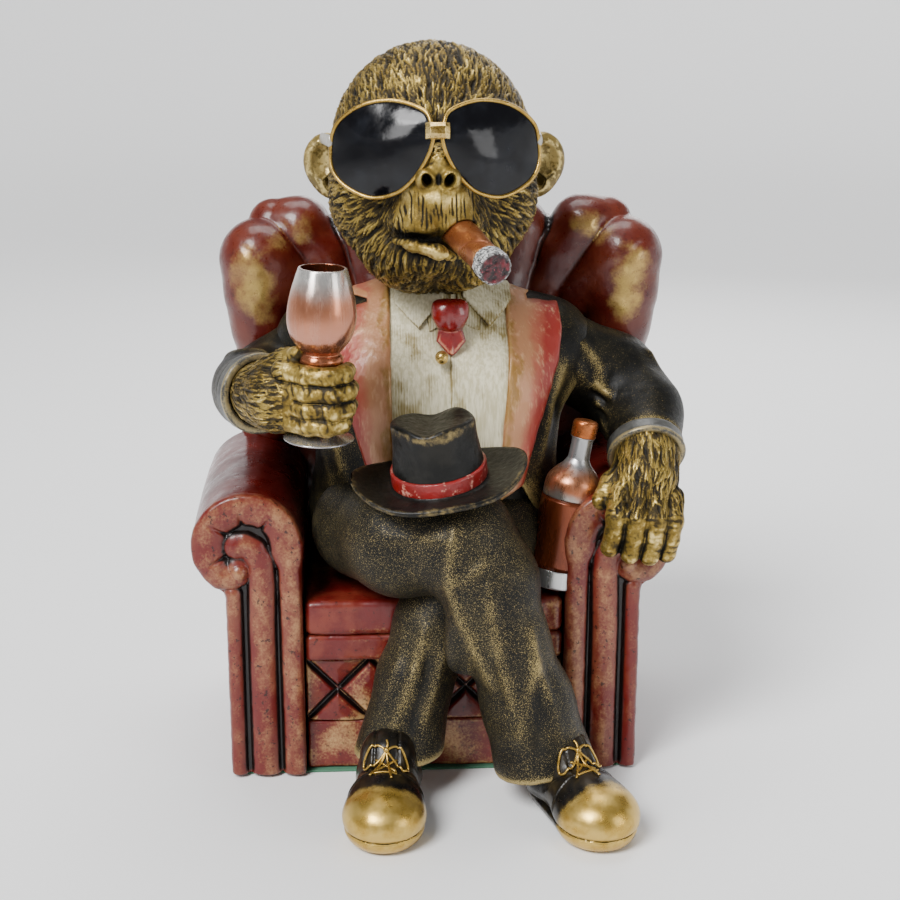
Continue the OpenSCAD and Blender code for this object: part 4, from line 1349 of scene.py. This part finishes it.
def right_hand_carve(p, n):
    creases = wrinkles(p, (1, -0.2, 0.25), 2.8)
    return hand_carve(p, n, right_hand_flow, right_fingers(p), creases, 1.6, 12)


KNUCKLES = [(81, -62, 133.5), (89, -65, 135), (97, -64.5, 134), (104.5, -61, 131)]
TIPS = [(76, -71.5, 112), (84.5, -73.5, 109.5), (93, -73.5, 108.5), (101, -70.5, 108.5)]


def left_hand_field(p):
    out = limb(p, [(96, -35, 148, 12.5), (95.5, -46, 144, 13), (94, -55, 138.5, 13)], 5)
    out = join(out, egg(p, (92, -55, 137), (14.5, 12, 9.5)), 5)
    for knuckle, tip in zip(KNUCKLES, TIPS):
        bend = [(a + b) / 2 + c for a, b, c in zip(knuckle, tip, (0, -6, 4))]
        low = [a * 0.3 + b * 0.7 + c for a, b, c in zip(knuckle, tip, (0, -4, 0))]
        finger = limb(p, [(*knuckle, 5.2), (*bend, 4.9), (*low, 4.2), (*tip, 4.3)], 1.6)
        out = join(out, finger, 1.2)
    thumb = limb(p, [(88, -46, 140, 6), (79, -55, 136, 5.2), (73, -61, 130, 4.3)], 3)
    return join(out, thumb, 2)


def left_hand_flow(p):
    return p - vec(98, -34, 160) + vec(0, -6, -2)


def left_hand_carve(p, n):
    bare = 1 - step(p[:, 2], 124, 131) * step(p[:, 0], 74, 80)
    return hand_carve(p, n, left_hand_flow, bare, wrinkles(p, (0.1, 0.35, 1), 2.8), 1.5, 13)


def make_hands(hair_paint):
    sculpt("right_hand", right_hand_field, (-94, -106, 160), (-28, -44, 212), 0.9, hair_paint, "fur",
           right_hand_carve)
    sculpt("left_hand", left_hand_field, (64, -84, 100), (114, -28, 166), 0.9, hair_paint, "fur",
           left_hand_carve)


# ---- glass, bottle and hat ----

GLASS_AT, GLASS_TURN = (-49, -85, 167), (0, 2.5, 0)
GLASS_OUT = [(14.2, 0), (14.6, 0.8), (12, 2.0), (6, 4.6), (2.7, 8), (2.4, 27), (4.6, 31), (8.8, 32.6),
             (9.4, 34.2), (8.8, 35.8), (8.0, 37), (9.6, 39.2), (12.4, 43.2), (14.0, 48.6), (14.2, 54),
             (13.1, 61), (11.3, 67.5), (9.9, 71.7)]
GLASS_IN = [(8.9, 71.8), (10.1, 67), (11.9, 61), (12.4, 56), (11.3, 51), (7.5, 48.6)]
BOTTLE_AT, BOTTLE_TURN = (53, -50, 84), (-4, 11, 0)
BOTTLE_R, BOTTLE_LIFT = 12.5, 3.4


def turned_piece(name, profile, centre, turn, lift=0.0, ripple=0.0):
    """A lathe shape set in place, with its own height as the mark fade, from 0 to 1."""
    verts, faces = lathe(profile)
    low, high = verts[:, 2].min(), verts[:, 2].max()
    fade = (verts[:, 2] - low) / (high - low)
    out = verts * vec(1, 1, 0)
    out = out / np.maximum(length(out), 1)[:, None]
    verts = verts + out * (noise(verts, 9, 1) * F(ripple))[:, None] + vec(0, 0, lift)
    return mesh_object(name, moved(verts, centre, turn), faces, {"fade": fade})


def make_glass(paint):
    outside = curve(GLASS_OUT, 6)
    profile = [(0, 0), *outside, *curve(GLASS_IN, 6), (0, 48.4)]
    glass = turned_piece("wine_glass", profile, GLASS_AT, GLASS_TURN, ripple=0.12)
    # the inside of the bowl, which the paint darkens as painted shade
    inner = np.zeros(len(glass.data.vertices), F)
    inner[len(outside) * SIDES:] = 1
    mark = glass.data.attributes.new("inner", "FLOAT", "POINT")
    mark.data.foreach_set("value", inner)
    place(glass, paint, "wine_glass", "copper_silver")


def make_bottle(silver, copper, label_paint):
    r = BOTTLE_R
    outer = [(r - 2, 0), (r - 0.5, 0.6), (r, 2.2), (r, 9.6), (r - 0.3, 10), (r - 0.3, 40), (r, 40.4),
             (r, 46), (r - 0.7, 49.5), (r - 3, 53), (r - 6, 56), (5.2, 58.2), (4.8, 60), (4.8, 68.2),
             (5.4, 68.4)]
    body = [(0, 0), *curve(outer, 4), (0, 68.5)]
    glass = turned_piece("bottle", body, BOTTLE_AT, BOTTLE_TURN, BOTTLE_LIFT, 0.1)
    place(glass, silver, "bottle", "silver_paint")
    side = [(4, 68.5), (5.3, 68.7), (5.6, 69.6), (5.6, 74.2), (5.2, 75.6), (4, 76.2)]
    cap = turned_piece("bottle_cap", [(0, 68.5), *curve(side, 4), (0, 76.4)], BOTTLE_AT, BOTTLE_TURN,
                       BOTTLE_LIFT)
    place(cap, copper, "bottle_cap", "copper_paint")
    band = curve([(r - 0.5, 10.2), (r + 0.25, 10.4), (r + 0.35, 11), (r + 0.35, 39), (r + 0.25, 39.6),
                  (r - 0.5, 39.8)], 4)
    rings = turned_rings(band[:, 0], band[:, 1], SIDES)
    verts = moved(rings + vec(0, 0, BOTTLE_LIFT), BOTTLE_AT, BOTTLE_TURN)
    label = mesh_object("bottle_label", verts, ring_faces(len(band), SIDES, True))
    place(label, label_paint, "bottle_label", "copper_paint")


HAT_AT, HAT_TURN = (2, -81, 143.5), (8, -7, 0)
BAND_R = 19.6


def hat_axes(p):
    """p in the hat's axes, the distance from its middle, and 1 at its sides to -1 at front and back."""
    q = turned(p, HAT_AT, HAT_TURN)
    r = np.hypot(q[:, 0], q[:, 1]) + 1e-3
    return q, r, (q[:, 0] ** 2 - q[:, 1] ** 2) / (r * r)


def hat_field(p):
    """A soft felt hat: a shallow dented crown on a brim curled up at its sides."""
    q, r, sides = hat_axes(p)
    x, y, z = q[:, 0], q[:, 1], q[:, 2]
    out = np.clip((r - 19) / 15.5, 0, 1.2)
    brim_z = 3 + out * out * (3.2 * sides + 1.6) + 0.5 * np.sin(x * 0.11 + 1)
    brim_r = 33.2 + 4.4 * sides
    brim = both(np.abs(z - brim_z) - 1.2, r - brim_r, 1.2)
    crown_r = BAND_R - 0.055 * z + 0.4 * np.sin(z * 0.2)
    pinch = 1.8 * np.exp(-((y + 14) / 8) ** 2 - ((np.abs(x) - 16) / 6) ** 2) * step(z, 12, 26)
    side = r - (crown_r - pinch).astype(F)
    top = 32 - 0.14 * y - 0.06 * x
    dent = 3.2 * np.exp(-((x + 2 - y * 0.15) / 7) ** 2) * (1 - step(r, 12, 19) * 0.25)
    peak = 1.6 * np.exp(-((x - 11) / 7) ** 2 - ((y - 10) / 8) ** 2)
    crown = both(side, z - (top - dent + peak).astype(F), 2.6)
    crown = both(crown, 1 - z, 0.5)
    return join(crown, brim, 3.0)


def hat_carve(p, n):
    q, r, sides = hat_axes(p)
    felt = noise(p, 1.6, 2)
    edge = step(r, 28.7 + 4.2 * sides, 32.7 + 4.2 * sides) * 0.75
    rim = step(q[:, 2], 26, 30) * step(r, 14.5, 17.5) * (1 - step(r, 18.5, 20))
    edge = edge + rim * (1 - step(q[:, 1], -8, 6)) * 0.9
    return felt * 0.12, {"relief": 0.5 + felt * 0.3, "worn": edge}


def hat_band_field(p):
    q, r, _ = hat_axes(p)
    shell = np.abs(r - F(BAND_R - 0.2)) - 1.0
    return both(shell, np.abs(q[:, 2] - 8.2 - q[:, 0] * 0.02) - 3.4, 0.8)


def plain_carve(p, n):
    rough = noise(p, 2, 2)
    return rough * 0.1, {"relief": 0.5 + rough * 0.5}


def make_hat(black, red):
    sculpt("hat", hat_field, (-36, -120, 132), (42, -42, 182), 1.2, black, "hat_black", hat_carve)
    sculpt("hat_band", hat_band_field, (-22, -106, 142), (26, -56, 162), 0.9, red, "band_red",
           plain_carve)


# ---- trousers ----

RIGHT_LEG = [(-30, -40, 113, 24), (-14, -68, 117, 24.5), (10, -82, 121, 22), (22, -88, 104, 20),
             (29, -91, 78, 17.5), (39, -90, 48, 19), (47.5, -88, 16, 22.5)]
LEFT_LEG = [(30, -38, 108, 22), (16, -60, 106, 20), (0, -66, 76, 17), (-9, -70, 52, 16),
            (-17, -76, 16, 20)]


# Each hem's height, the x it is measured at, and its rise with x.
RIGHT_HEM, LEFT_HEM = (19, 46, 0.24), (19.5, -17, 0.0)


def hem(p, z, centre, tilt):
    """Above the trouser's hem, which rises or falls with x."""
    return F(z) + (p[:, 0] - F(centre)) * F(tilt) - p[:, 2]


def right_leg_field(p):
    out = limb(p, RIGHT_LEG, 7)
    out = join(out, egg(p, (14, -95, 88), (10, 9, 24), (0, 14, 0)), 6)
    out = join(out, rod(p, (13, -97, 92, 7), (22, -98, 66, 2.5)), 3)
    return both(out, hem(p, *RIGHT_HEM), 1.6)


def left_leg_field(p):
    return both(limb(p, LEFT_LEG, 7), hem(p, *LEFT_HEM), 1.6)


def leg_relief(p, folds, at):
    """The height and the marks of a trouser leg, with its hem rubbed."""
    edge = 1 - step(np.abs(hem(p, *at) + 1.6), 0.4, 2.2)
    return folds * 0.85 + noise(p, 3) * 0.1, {"relief": 0.46 + folds * 0.15 + edge * 0.3}


# The fold that runs from the knee down the inner edge of the crossed leg, seen from the front.
CALF_EDGE = [(7, 0, 139), (5, 0, 122), (4, 0, 107), (9, 0, 93), (17, 0, 75), (24, 0, 56)]


def right_leg_carve(p, n):
    folds = (fold(p, [(20, -108, 112), (22, -110, 92), (28, -108, 66), (34, -106, 46)], 2.6, 1.9)
             + fold(p, [(38, -106, 92), (40, -107, 74), (36, -108, 52), (33, -108, 36)], 2.4, 2.2)
             + fold(p, [(40, -107, 78), (46, -106, 56), (52, -104, 34)], 2.4, 1.8)
             + fold(p, [(42, -107, 64), (41, -108, 48), (42, -108, 30)], 3.0, -1.5)
             + fold(p * vec(1, 0, 1), CALF_EDGE, 2.4, 1.7) * step(-p[:, 1], 78, 86)
             + fold(p, [(-30, -92, 128), (-12, -98, 126), (6, -102, 128)], 3.4, 1.1)
             + fold(p, [(4, -104, 108), (12, -106, 112), (22, -108, 122)], 2.6, 1.2))
    return leg_relief(p, folds, RIGHT_HEM)


def left_leg_carve(p, n):
    folds = (fold(p, [(-4, -84, 84), (-10, -86, 60), (-20, -92, 36), (-26, -94, 22)], 3, 1.9)
             + fold(p, [(-14, -80, 80), (-20, -84, 58), (-30, -90, 34)], 2.6, 1.2)
             + fold(p, [(4, -82, 78), (0, -84, 58), (-8, -90, 34)], 2.8, 1.5)
             + fold(p, [(-3, -84, 72), (-6, -86, 54), (-14, -92, 30)], 2.4, -1.3))
    return leg_relief(p, folds, LEFT_HEM)


def make_trousers(paint):
    sculpt("right_trouser_leg", right_leg_field, (-58, -116, 8), (70, -12, 150), 1.5, paint,
           "black_cloth", right_leg_carve)
    sculpt("left_trouser_leg", left_leg_field, (-42, -98, 12), (56, -12, 134), 1.5, paint,
           "black_cloth", left_leg_carve)


# ---- shoes ----

RIGHT_SHOE, LEFT_SHOE = ((47, -80, 1), (0, 0, 24)), ((-20, -73, 1), (0, 0, -5))


def shoe_axes(p, at):
    """Shoe axes: heel at the origin, toe towards -Y."""
    return turned(p, *at)


def shoe_upper(q):
    out = egg(q, (0, -46.5, 10.5), (17.8, 19, 13.4))
    out = join(out, rod(q, (0, -17, 12, 12.6), (0, -36, 12, 14)), 6)
    out = join(out, rod(q, (0, -14, 18, 11.6), (0, -20, 25, 11.5)), 6)
    out = join(out, egg(q, (0, -13, 10), (13.5, 13.5, 11)), 4)
    welt = 1.0 * np.exp(-((q[:, 2] - 6.8) / 0.55) ** 2)
    return both(out + welt, 3.6 - q[:, 2], 0.6)


def shoe_field(at):
    def field(p):
        q = shoe_axes(p, at)
        out = shoe_upper(q)
        side = np.abs(q[:, 0])
        quarter, _ = path_gap(np.stack([side, q[:, 1], np.zeros(len(q), F)], 1),
                              [(14, -24, 0), (10, -31, 0), (5.5, -37.5, 0), (5.0, -14, 0)])
        edge = 0.5 * (1 - step(quarter, 0.2, 1.0)) * step(q[:, 2], 12, 15)
        flaps = np.maximum(5.2 - side, -(q[:, 1] + 37))
        raised = 0.55 * (1 - step(flaps, -0.4, 0.3)) * step(q[:, 2], 9, 12)
        return out - raised + edge
    return field


def sole_field(at):
    def field(p):
        q = shoe_axes(p, at)
        flat = q * vec(1, 1, 0)
        shape = rod(flat, (0, -14, 0, 12.6), (0, -45, 0, 16.2))
        shape = join(shape, egg(flat, (0, -46.6, 0), (16.6, 17.8, 18)), 3)
        slab = np.maximum(0.3 - q[:, 2], q[:, 2] - 6.2)
        waist = (6 - q[:, 2]) ** 2 * 0.09
        return both(shape + waist, slab, 1.2)
    return field


def shoe_carve(at):
    """The gilded toe cap fades back into black over the instep."""
    def carve(p, n):
        q = shoe_axes(p, at)
        toe = step(-q[:, 1] - q[:, 2] * 0.3 + noise(p, 7, 3) * 3, 33, 50)
        return noise(p, 5, 2) * 0.12, {"worn": toe}
    return carve


# Laces in shoe axes as (x, y); each is let down from LACE_Z onto the instep.
LACE_Z = 40
CROSSINGS = [[(-4.5, -37), (4.5, -31)], [(4.5, -37), (-4.5, -31)], [(-5, -38.5), (5, -38.5)]]
BOW = [[(0, -30), (-4, -33), (-8.5, -33), (-9.5, -29.5), (-5.5, -27.5), (0, -30)],
       [(0, -30), (4, -32.5), (8, -35), (9.5, -31.5), (5.5, -28), (0, -30)],
       [(0, -30), (-3, -35), (-6.5, -40)], [(0, -30), (1.5, -36), (3, -43)],
       [(0, -30), (0.5, -28), (0, -26.5)]]


def lace_shapes(at):
    """Crossed laces with a bow and its tails over them."""
    shapes = []
    for lift, group in ((0.2, CROSSINGS), (0.7, BOW)):
        for line in group:
            path = curve([(x, y, LACE_Z) for x, y in line], 8)
            shapes.append(tube(dropped(path, at, lift), 0.55, 8))
    return shapes


def dropped(path, at, lift):
    """Points in shoe axes, let down until they lie at a height of lift over the shoe."""
    world = moved(np.array(path, F), *at)
    field = shoe_field(at)
    for _ in range(24):
        world[:, 2] -= np.clip(field(world) - F(lift), -3, 3) * 0.8
    return world


def knot(at):
    centre = dropped([(0, -30, LACE_Z)], at, 0.8)[0]
    verts, faces = lathe([(0, -1.4), (0.9, -1.1), (1.4, 0), (0.9, 1.1), (0, 1.4)], 16)
    return verts + centre, faces


def make_shoes(black_gold, gold):
    for word, at, low, high in (("right", RIGHT_SHOE, (26, -148, 0), (92, -62, 42)),
                                ("left", LEFT_SHOE, (-44, -146, 0), (6, -62, 42))):
        sculpt(word + "_shoe", shoe_field(at), low, high, 1.0, black_gold, "shoe_gold_black",
               shoe_carve(at))
        sculpt(word + "_sole", sole_field(at), low, (*high[:2], 10), 1.0, black_gold,
               "shoe_gold_black", shoe_carve(at))
        laces = mesh_object(word + "_laces", *pile(*lace_shapes(at), knot(at)))
        place(laces, gold, word + "_laces", "gold_paint")


# ---- armchair ----

ARM_X, ARM_Z, ROLL_R = 82, 111, 24.5
ARM_FRONT, ARM_BACK = -58, 45


def arm_profile(p, side, grow=0.0):
    """The arm seen from the front: an upright with a roll on its outer side."""
    x, z = p[:, 0] * F(side), p[:, 2]
    post = np.maximum(np.abs(x - 75.2) - 17, np.abs(z - 56) - 56)
    roll = np.hypot(x - F(ARM_X), z - F(ARM_Z)) - F(ROLL_R)
    return join(post, roll, 3) - F(grow)


def armrest_field(side):
    def field(p):
        y = p[:, 1]
        ends = np.maximum(F(ARM_FRONT) - y, y - F(ARM_BACK))
        swell = 0.8 * np.sin((y + 60) * 0.03)
        return both(both(arm_profile(p, side, -0.6) - swell.astype(F), ends, 2.5), 1.2 - p[:, 2], 1.5)
    return field


OUTER_BAND = ([(19.4, -112), (19.2, -30), (18.7, -8)] + [(18.4 * math.cos(a), 18.4 * math.sin(a))
              for a in np.radians(np.arange(0, 236, 12))] + [(-7.0, -14.5), (-4.0, -12.5)])
INNER_BAND = [(5.6, -112), (5.6, -40), (6.2, -16), (5.6, -7), (2.6, -1.5), (-1.2, 0.8), (-4.2, 0.4)]
EDGE_BAND = [(-6.8, -112), (-6.6, -22)]
KNOB = (-3.6, -11.6)
PLEATS = [(100, 8.5, 16), (52, 9.5, 17), (146, 11, 19), (205, 11, 18)]


def half_round(d, wide):
    """The height of a half-round moulding at distance d from its middle line."""
    return np.sqrt(np.clip(1 - (d / wide) ** 2, 0, 1))


def scroll_relief(p, side):
    """The carved scroll: 0 in its grooves, 1 on top of its bands."""
    flat = np.stack([F(ARM_X) - p[:, 0] * F(side), p[:, 2] - F(ARM_Z)], 1)
    d, _ = path_gap(flat, OUTER_BAND)
    wide = 6 + 3 * step(flat[:, 1], -12, -2)
    out = half_round(d, wide)
    for angle, near, far in PLEATS:
        way = vec(math.cos(math.radians(angle)), math.sin(math.radians(angle)))
        crease, t = path_gap(flat, [way * near, way * far])
        out = out - np.exp(-(crease / 0.9) ** 2) * 0.45 * (1 - t * 0.8)
    for path, half_width, height in ((INNER_BAND, 6.6, 0.95), (EDGE_BAND, 4.2, 0.8)):
        out = np.maximum(out, half_round(path_gap(flat, path)[0], F(half_width)) * F(height))
    return np.maximum(out, half_round(length(flat - vec(*KNOB)), F(4.8)) * F(1.2))


def facing_field(side):
    def field(p):
        y = p[:, 1]
        front = F(ARM_FRONT) - F(0.6) - F(4.4) * scroll_relief(p, side) - y
        slab = np.maximum(front * F(0.7), y - F(ARM_FRONT) - F(1.5))
        return both(both(arm_profile(p, side, -0.1), slab, 1.6), 1.2 - p[:, 2], 1.5)
    return field


def facing_carve(side):
    def carve(p, n):
        high = scroll_relief(p, side)
        dents = noise(p, 4, 2)
        # the scroll's grooves get the hollow mark, which the paint turns into painted shade
        hollow = (1 - step(high, 0.25, 0.8)) * step(-arm_profile(p, side), 1, 5)
        return dents * 0.22, {"relief": high * 0.5 + 0.08 + dents * 0.2, "hollow": hollow}
    return carve


def leather_carve(p, n):
    swell = noise(p, 16, 2)
    return swell * 0.35 + noise(p, 2.5) * 0.06, {"relief": 0.5 + swell * 0.5}


def cushion_field(p):
    pucker = noise(p * vec(1, 0, 0.3), 8, 2)
    face = crate(p, (0, -7, 76), (57.6, 52.5, 8.2), 3.2)
    return face - pucker * (1 - step(p[:, 1], -60, -50)) * 0.7


def rail_field(p):
    pucker = noise(p * vec(1, 0, 0.3), 9, 2)
    return crate(p, (0, -54, 61.4), (57.6, 4.6, 6.2), 2.4) - pucker * 0.5


DIAMOND = 29.0


def tuft_field(p):
    """Buttoned leather: crossing grooves leave domed diamonds."""
    x, z = p[:, 0], p[:, 2] - 40
    u = x % F(DIAMOND) - F(DIAMOND / 2)
    k = F(DIAMOND / 2 / 15)
    norm = math.hypot(1, float(k))
    groove = np.minimum(np.abs(u - z * k), np.abs(u + z * k)) / F(norm)
    edge = np.maximum(np.abs(z) - 14.6, 0)
    dome = np.minimum(groove, 7) / 7
    height = 2.8 * (1 - np.exp(-(groove / 1.3) ** 2)) + dome * 0.9 - edge
    front = F(-52.5) - height - p[:, 1]
    slab = np.maximum(front * 0.8, p[:, 1] + 50)
    return both(slab, np.maximum(np.abs(x) - 57.7, np.abs(z) - 15.2), 1.2)


def plinth_field(p):
    return crate(p, (0, -52, 12.9), (57.6, 3.4, 11.8), 1.6) - noise(p, 14, 2) * 0.3


def seat_box_field(p):
    return crate(p, (0, -3, 34.5), (57.6, 46, 33), 1.0)


BACK_X = 8
ROLLS = [[(0, 38, 233, 15), (0, 34, 205, 15), (0, 32, 170, 13)],
         [(36, 38, 233, 16), (28, 33, 205, 15), (22, 30, 178, 13)],
         [(79, 37, 237.5, 11.5), (67, 35, 235, 14.5), (56, 33, 223, 12), (44, 29, 200, 10)]]
WING = [(64, 32, 205, 14), (85, 29, 222, 18), (84.5, 28, 206, 17), (84, 28, 191, 15), (84, 30, 170, 12),
        (82, 36, 140, 10)]
PANEL = [(-77, -20), (77, -20), (78, 150), (84, 190), (75, 213), (57, 227), (-41, 227), (-60, 213),
         (-70, 190), (-78, 150)]
PANEL_ROUND = 12
WELT = [(-83, 61, 6), (-84, 61, 150), (-76, 61, 190), (-68, 61, 217), (-47, 61, 232), (63, 61, 232),
        (82, 61, 217), (89, 61, 190), (84, 61, 150), (83, 61, 6)]


def back_field(p):
    """Padded rolls that fan out from behind the figure, and a wing each side in front of them."""
    m = mirrored(p, BACK_X)
    flat = outline(p[:, 0], p[:, 2], PANEL) - F(PANEL_ROUND)
    out = both(flat, np.abs(p[:, 1] - 51) - 10.4, 7)
    for roll in ROLLS:
        out = join(out, limb(m, roll, 5), 1.6)
    out = join(out, limb(m, WING, 5), 1.2)
    return both(out, 1.2 - p[:, 2], 1)


def back_carve(p, n):
    """Painted highlights in gold over the wings and rolls, pulls in the leather, and behind them the
    piping and five seams.
    """
    m = mirrored(p, BACK_X)
    # painted highlights: soft gold patches at the middle of each wing and of two rolls, mirrored to both
    # sides
    highlight_patches = (1 - step(egg(m, (87, 10, 213), (10, 17, 19), (0, 8, 0)), -7, 7)
            + (1 - step(egg(m, (70, 20, 236), (12, 15, 8), (0, 20, 0)), -6, 6)) * 0.7
            + (1 - step(egg(m, (34, 20, 238), (10, 14, 8)), -5, 5)) * 0.5)
    pull = (fold(m, [(94, 14, 232), (86, 10, 226), (76, 12, 218)], 1.8, -0.5)
            + fold(m, [(78, 22, 243), (72, 21, 238), (64, 20, 230)], 1.8, -0.5))
    pull = pull + fold(p, curve(WELT, 3), 1.5, 1.3)
    for x in (-54, -23, 8, 39, 70):
        pull = pull + fold(p, [(x, 61, 8), (x, 61, 232)], 1.6, -2.0)
    rough = noise(p, 7, 3)
    gold_highlight = np.clip(highlight_patches * (0.95 + rough * 0.5), 0, 1.2)
    return pull + rough * 0.25, {"relief": 0.40 + rough * 0.2 + pull * 0.12, "gold_highlight": gold_highlight}


def make_chair(red, gloss, carved, seat):
    for side, word, x0, x1 in ((-1, "right", -110, -54), (1, "left", 54, 110)):
        sculpt(word + "_armrest", armrest_field(side), (x0, -60, 0), (x1, 48, 138), 1.8, gloss,
               "chair_red", leather_carve)
        sculpt(word + "_arm_facing", facing_field(side), (x0, -65, 0), (x1, -55, 138), 0.9, carved,
               "chair_gold_red", facing_carve(side))
    for name, field, low, high, h, slot in (
            ("seat_cushion", cushion_field, (-60, -62, 66), (60, 48, 86), 1.6, "chair_red"),
            ("front_rail", rail_field, (-60, -61, 53), (60, -47, 70), 1.0, "chair_gold_red"),
            ("tufted_panel", tuft_field, (-60, -60, 22), (60, -48, 58), 0.9, "chair_gold_red"),
            ("plinth", plinth_field, (-60, -58, 0), (60, -46, 27), 1.0, "chair_gold_red"),
            ("seat_box", seat_box_field, (-60, -51, 0), (60, 46, 70), 3.0, "chair_gold_red")):
        sculpt(name, field, low, high, h, seat, slot, leather_carve)
    sculpt("chair_back", back_field, (-98, 4, 0), (114, 66, 252), 2.0, red, "chair_red", back_carve)


# ---- hidden parts ----

def pin(a, b, r=2.0):
    """A steel pin from a to b, its ends chamfered."""
    long = math.dist(a, b)
    profile = [(0, 0), (r - 0.3, 0), (r, 0.3), (r, long - 0.3), (r - 0.3, long), (0, long)]
    verts, faces = lathe(profile, 32)
    return moved(verts, a, along(a, b)), faces


DOWELS = {"neck_dowel": [((3, -14, 196), (3, -14, 218))],
          "wrist_dowels": [((-79, -46, 178), (-71, -66, 180)), ((97, -28, 150), (95, -44, 142))],
          "ankle_dowels": [((54.8, -97.6, 10), (54.8, -97.6, 34)),
                           ((-20.7, -91.2, 10), (-20.7, -91.2, 34))],
          "hat_dowel": [((-1, -81, 132), (-1, -81, 153))]}


def chair_felt_field(p):
    return crate(p, (0, 0, 0.5), (88, 58, 0.5), 0.4)


def shoe_felts_field(p):
    pads = [np.maximum(np.hypot(p[:, 0] - F(x), p[:, 1] - F(y)) - 9, np.abs(p[:, 2] - 0.5) - 0.5)
            for x, y in ((62.6, -115), (-23.6, -111))]
    return np.minimum(*pads)


def plugs_field(p):
    """Closures of the pour holes: under the back, the seat and each armrest."""
    out = crate(p, (0, 52, 2.5), (61.8, 4.8, 1.5), 0.3)
    out = np.minimum(out, crate(p, (0, -3.5, 2.5), (52.8, 40.8, 1.5), 0.3))
    for x in (-80, 80):
        out = np.minimum(out, crate(p, (x, -8, 2.5), (6.8, 44.8, 1.5), 0.3))
    return out


def make_hidden(steel, felt, board):
    for name, ends in DOWELS.items():
        place(mesh_object(name, *pile(*(pin(a, b) for a, b in ends))), steel, name, "steel")
    for name, field, low, high, h, paint, slot in (
            ("chair_felt", chair_felt_field, (-92, -62, -0.5), (92, 62, 1.5), 1.0, felt, "felt"),
            ("shoe_felts", shoe_felts_field, (-34, -126, -1), (74, -100, 2), 0.8, felt, "felt"),
            ("underside_plugs", plugs_field, (-90, -56, 0), (90, 60, 5), 1.4, board, "plug_board")):
        sculpt(name, field, low, high, h, paint, slot, plain_carve, splits=0)


# ---- everything ----

def build():
    paint = paints()
    hair_paint = fur_paint()
    make_head(hair_paint)
    make_ears(paint["ear"])
    make_spectacles(paint["gold"], lens_paint(), paint["plain_silver"])
    make_cigar(paint["cigar"], ash_paint())
    make_clothes(paint["cloth"], shirt_paint(), lapel_paint(), paint["red"], paint["gold"])
    make_sleeves(paint["cloth"], paint["grey"])
    make_hands(hair_paint)
    make_glass(paint["glass"])
    make_bottle(paint["silver"], paint["copper"], paint["label"])
    make_hat(paint["hat"], paint["band"])
    make_trousers(paint["trousers"])
    make_shoes(shoe_paint(), paint["gold"])
    make_chair(paint["back"], paint["gloss"], paint["carved"], paint["seat"])
    make_hidden(paint["steel"], paint["felt"], paint["board"])


make_camera()
make_studio()
make_floor()
build()
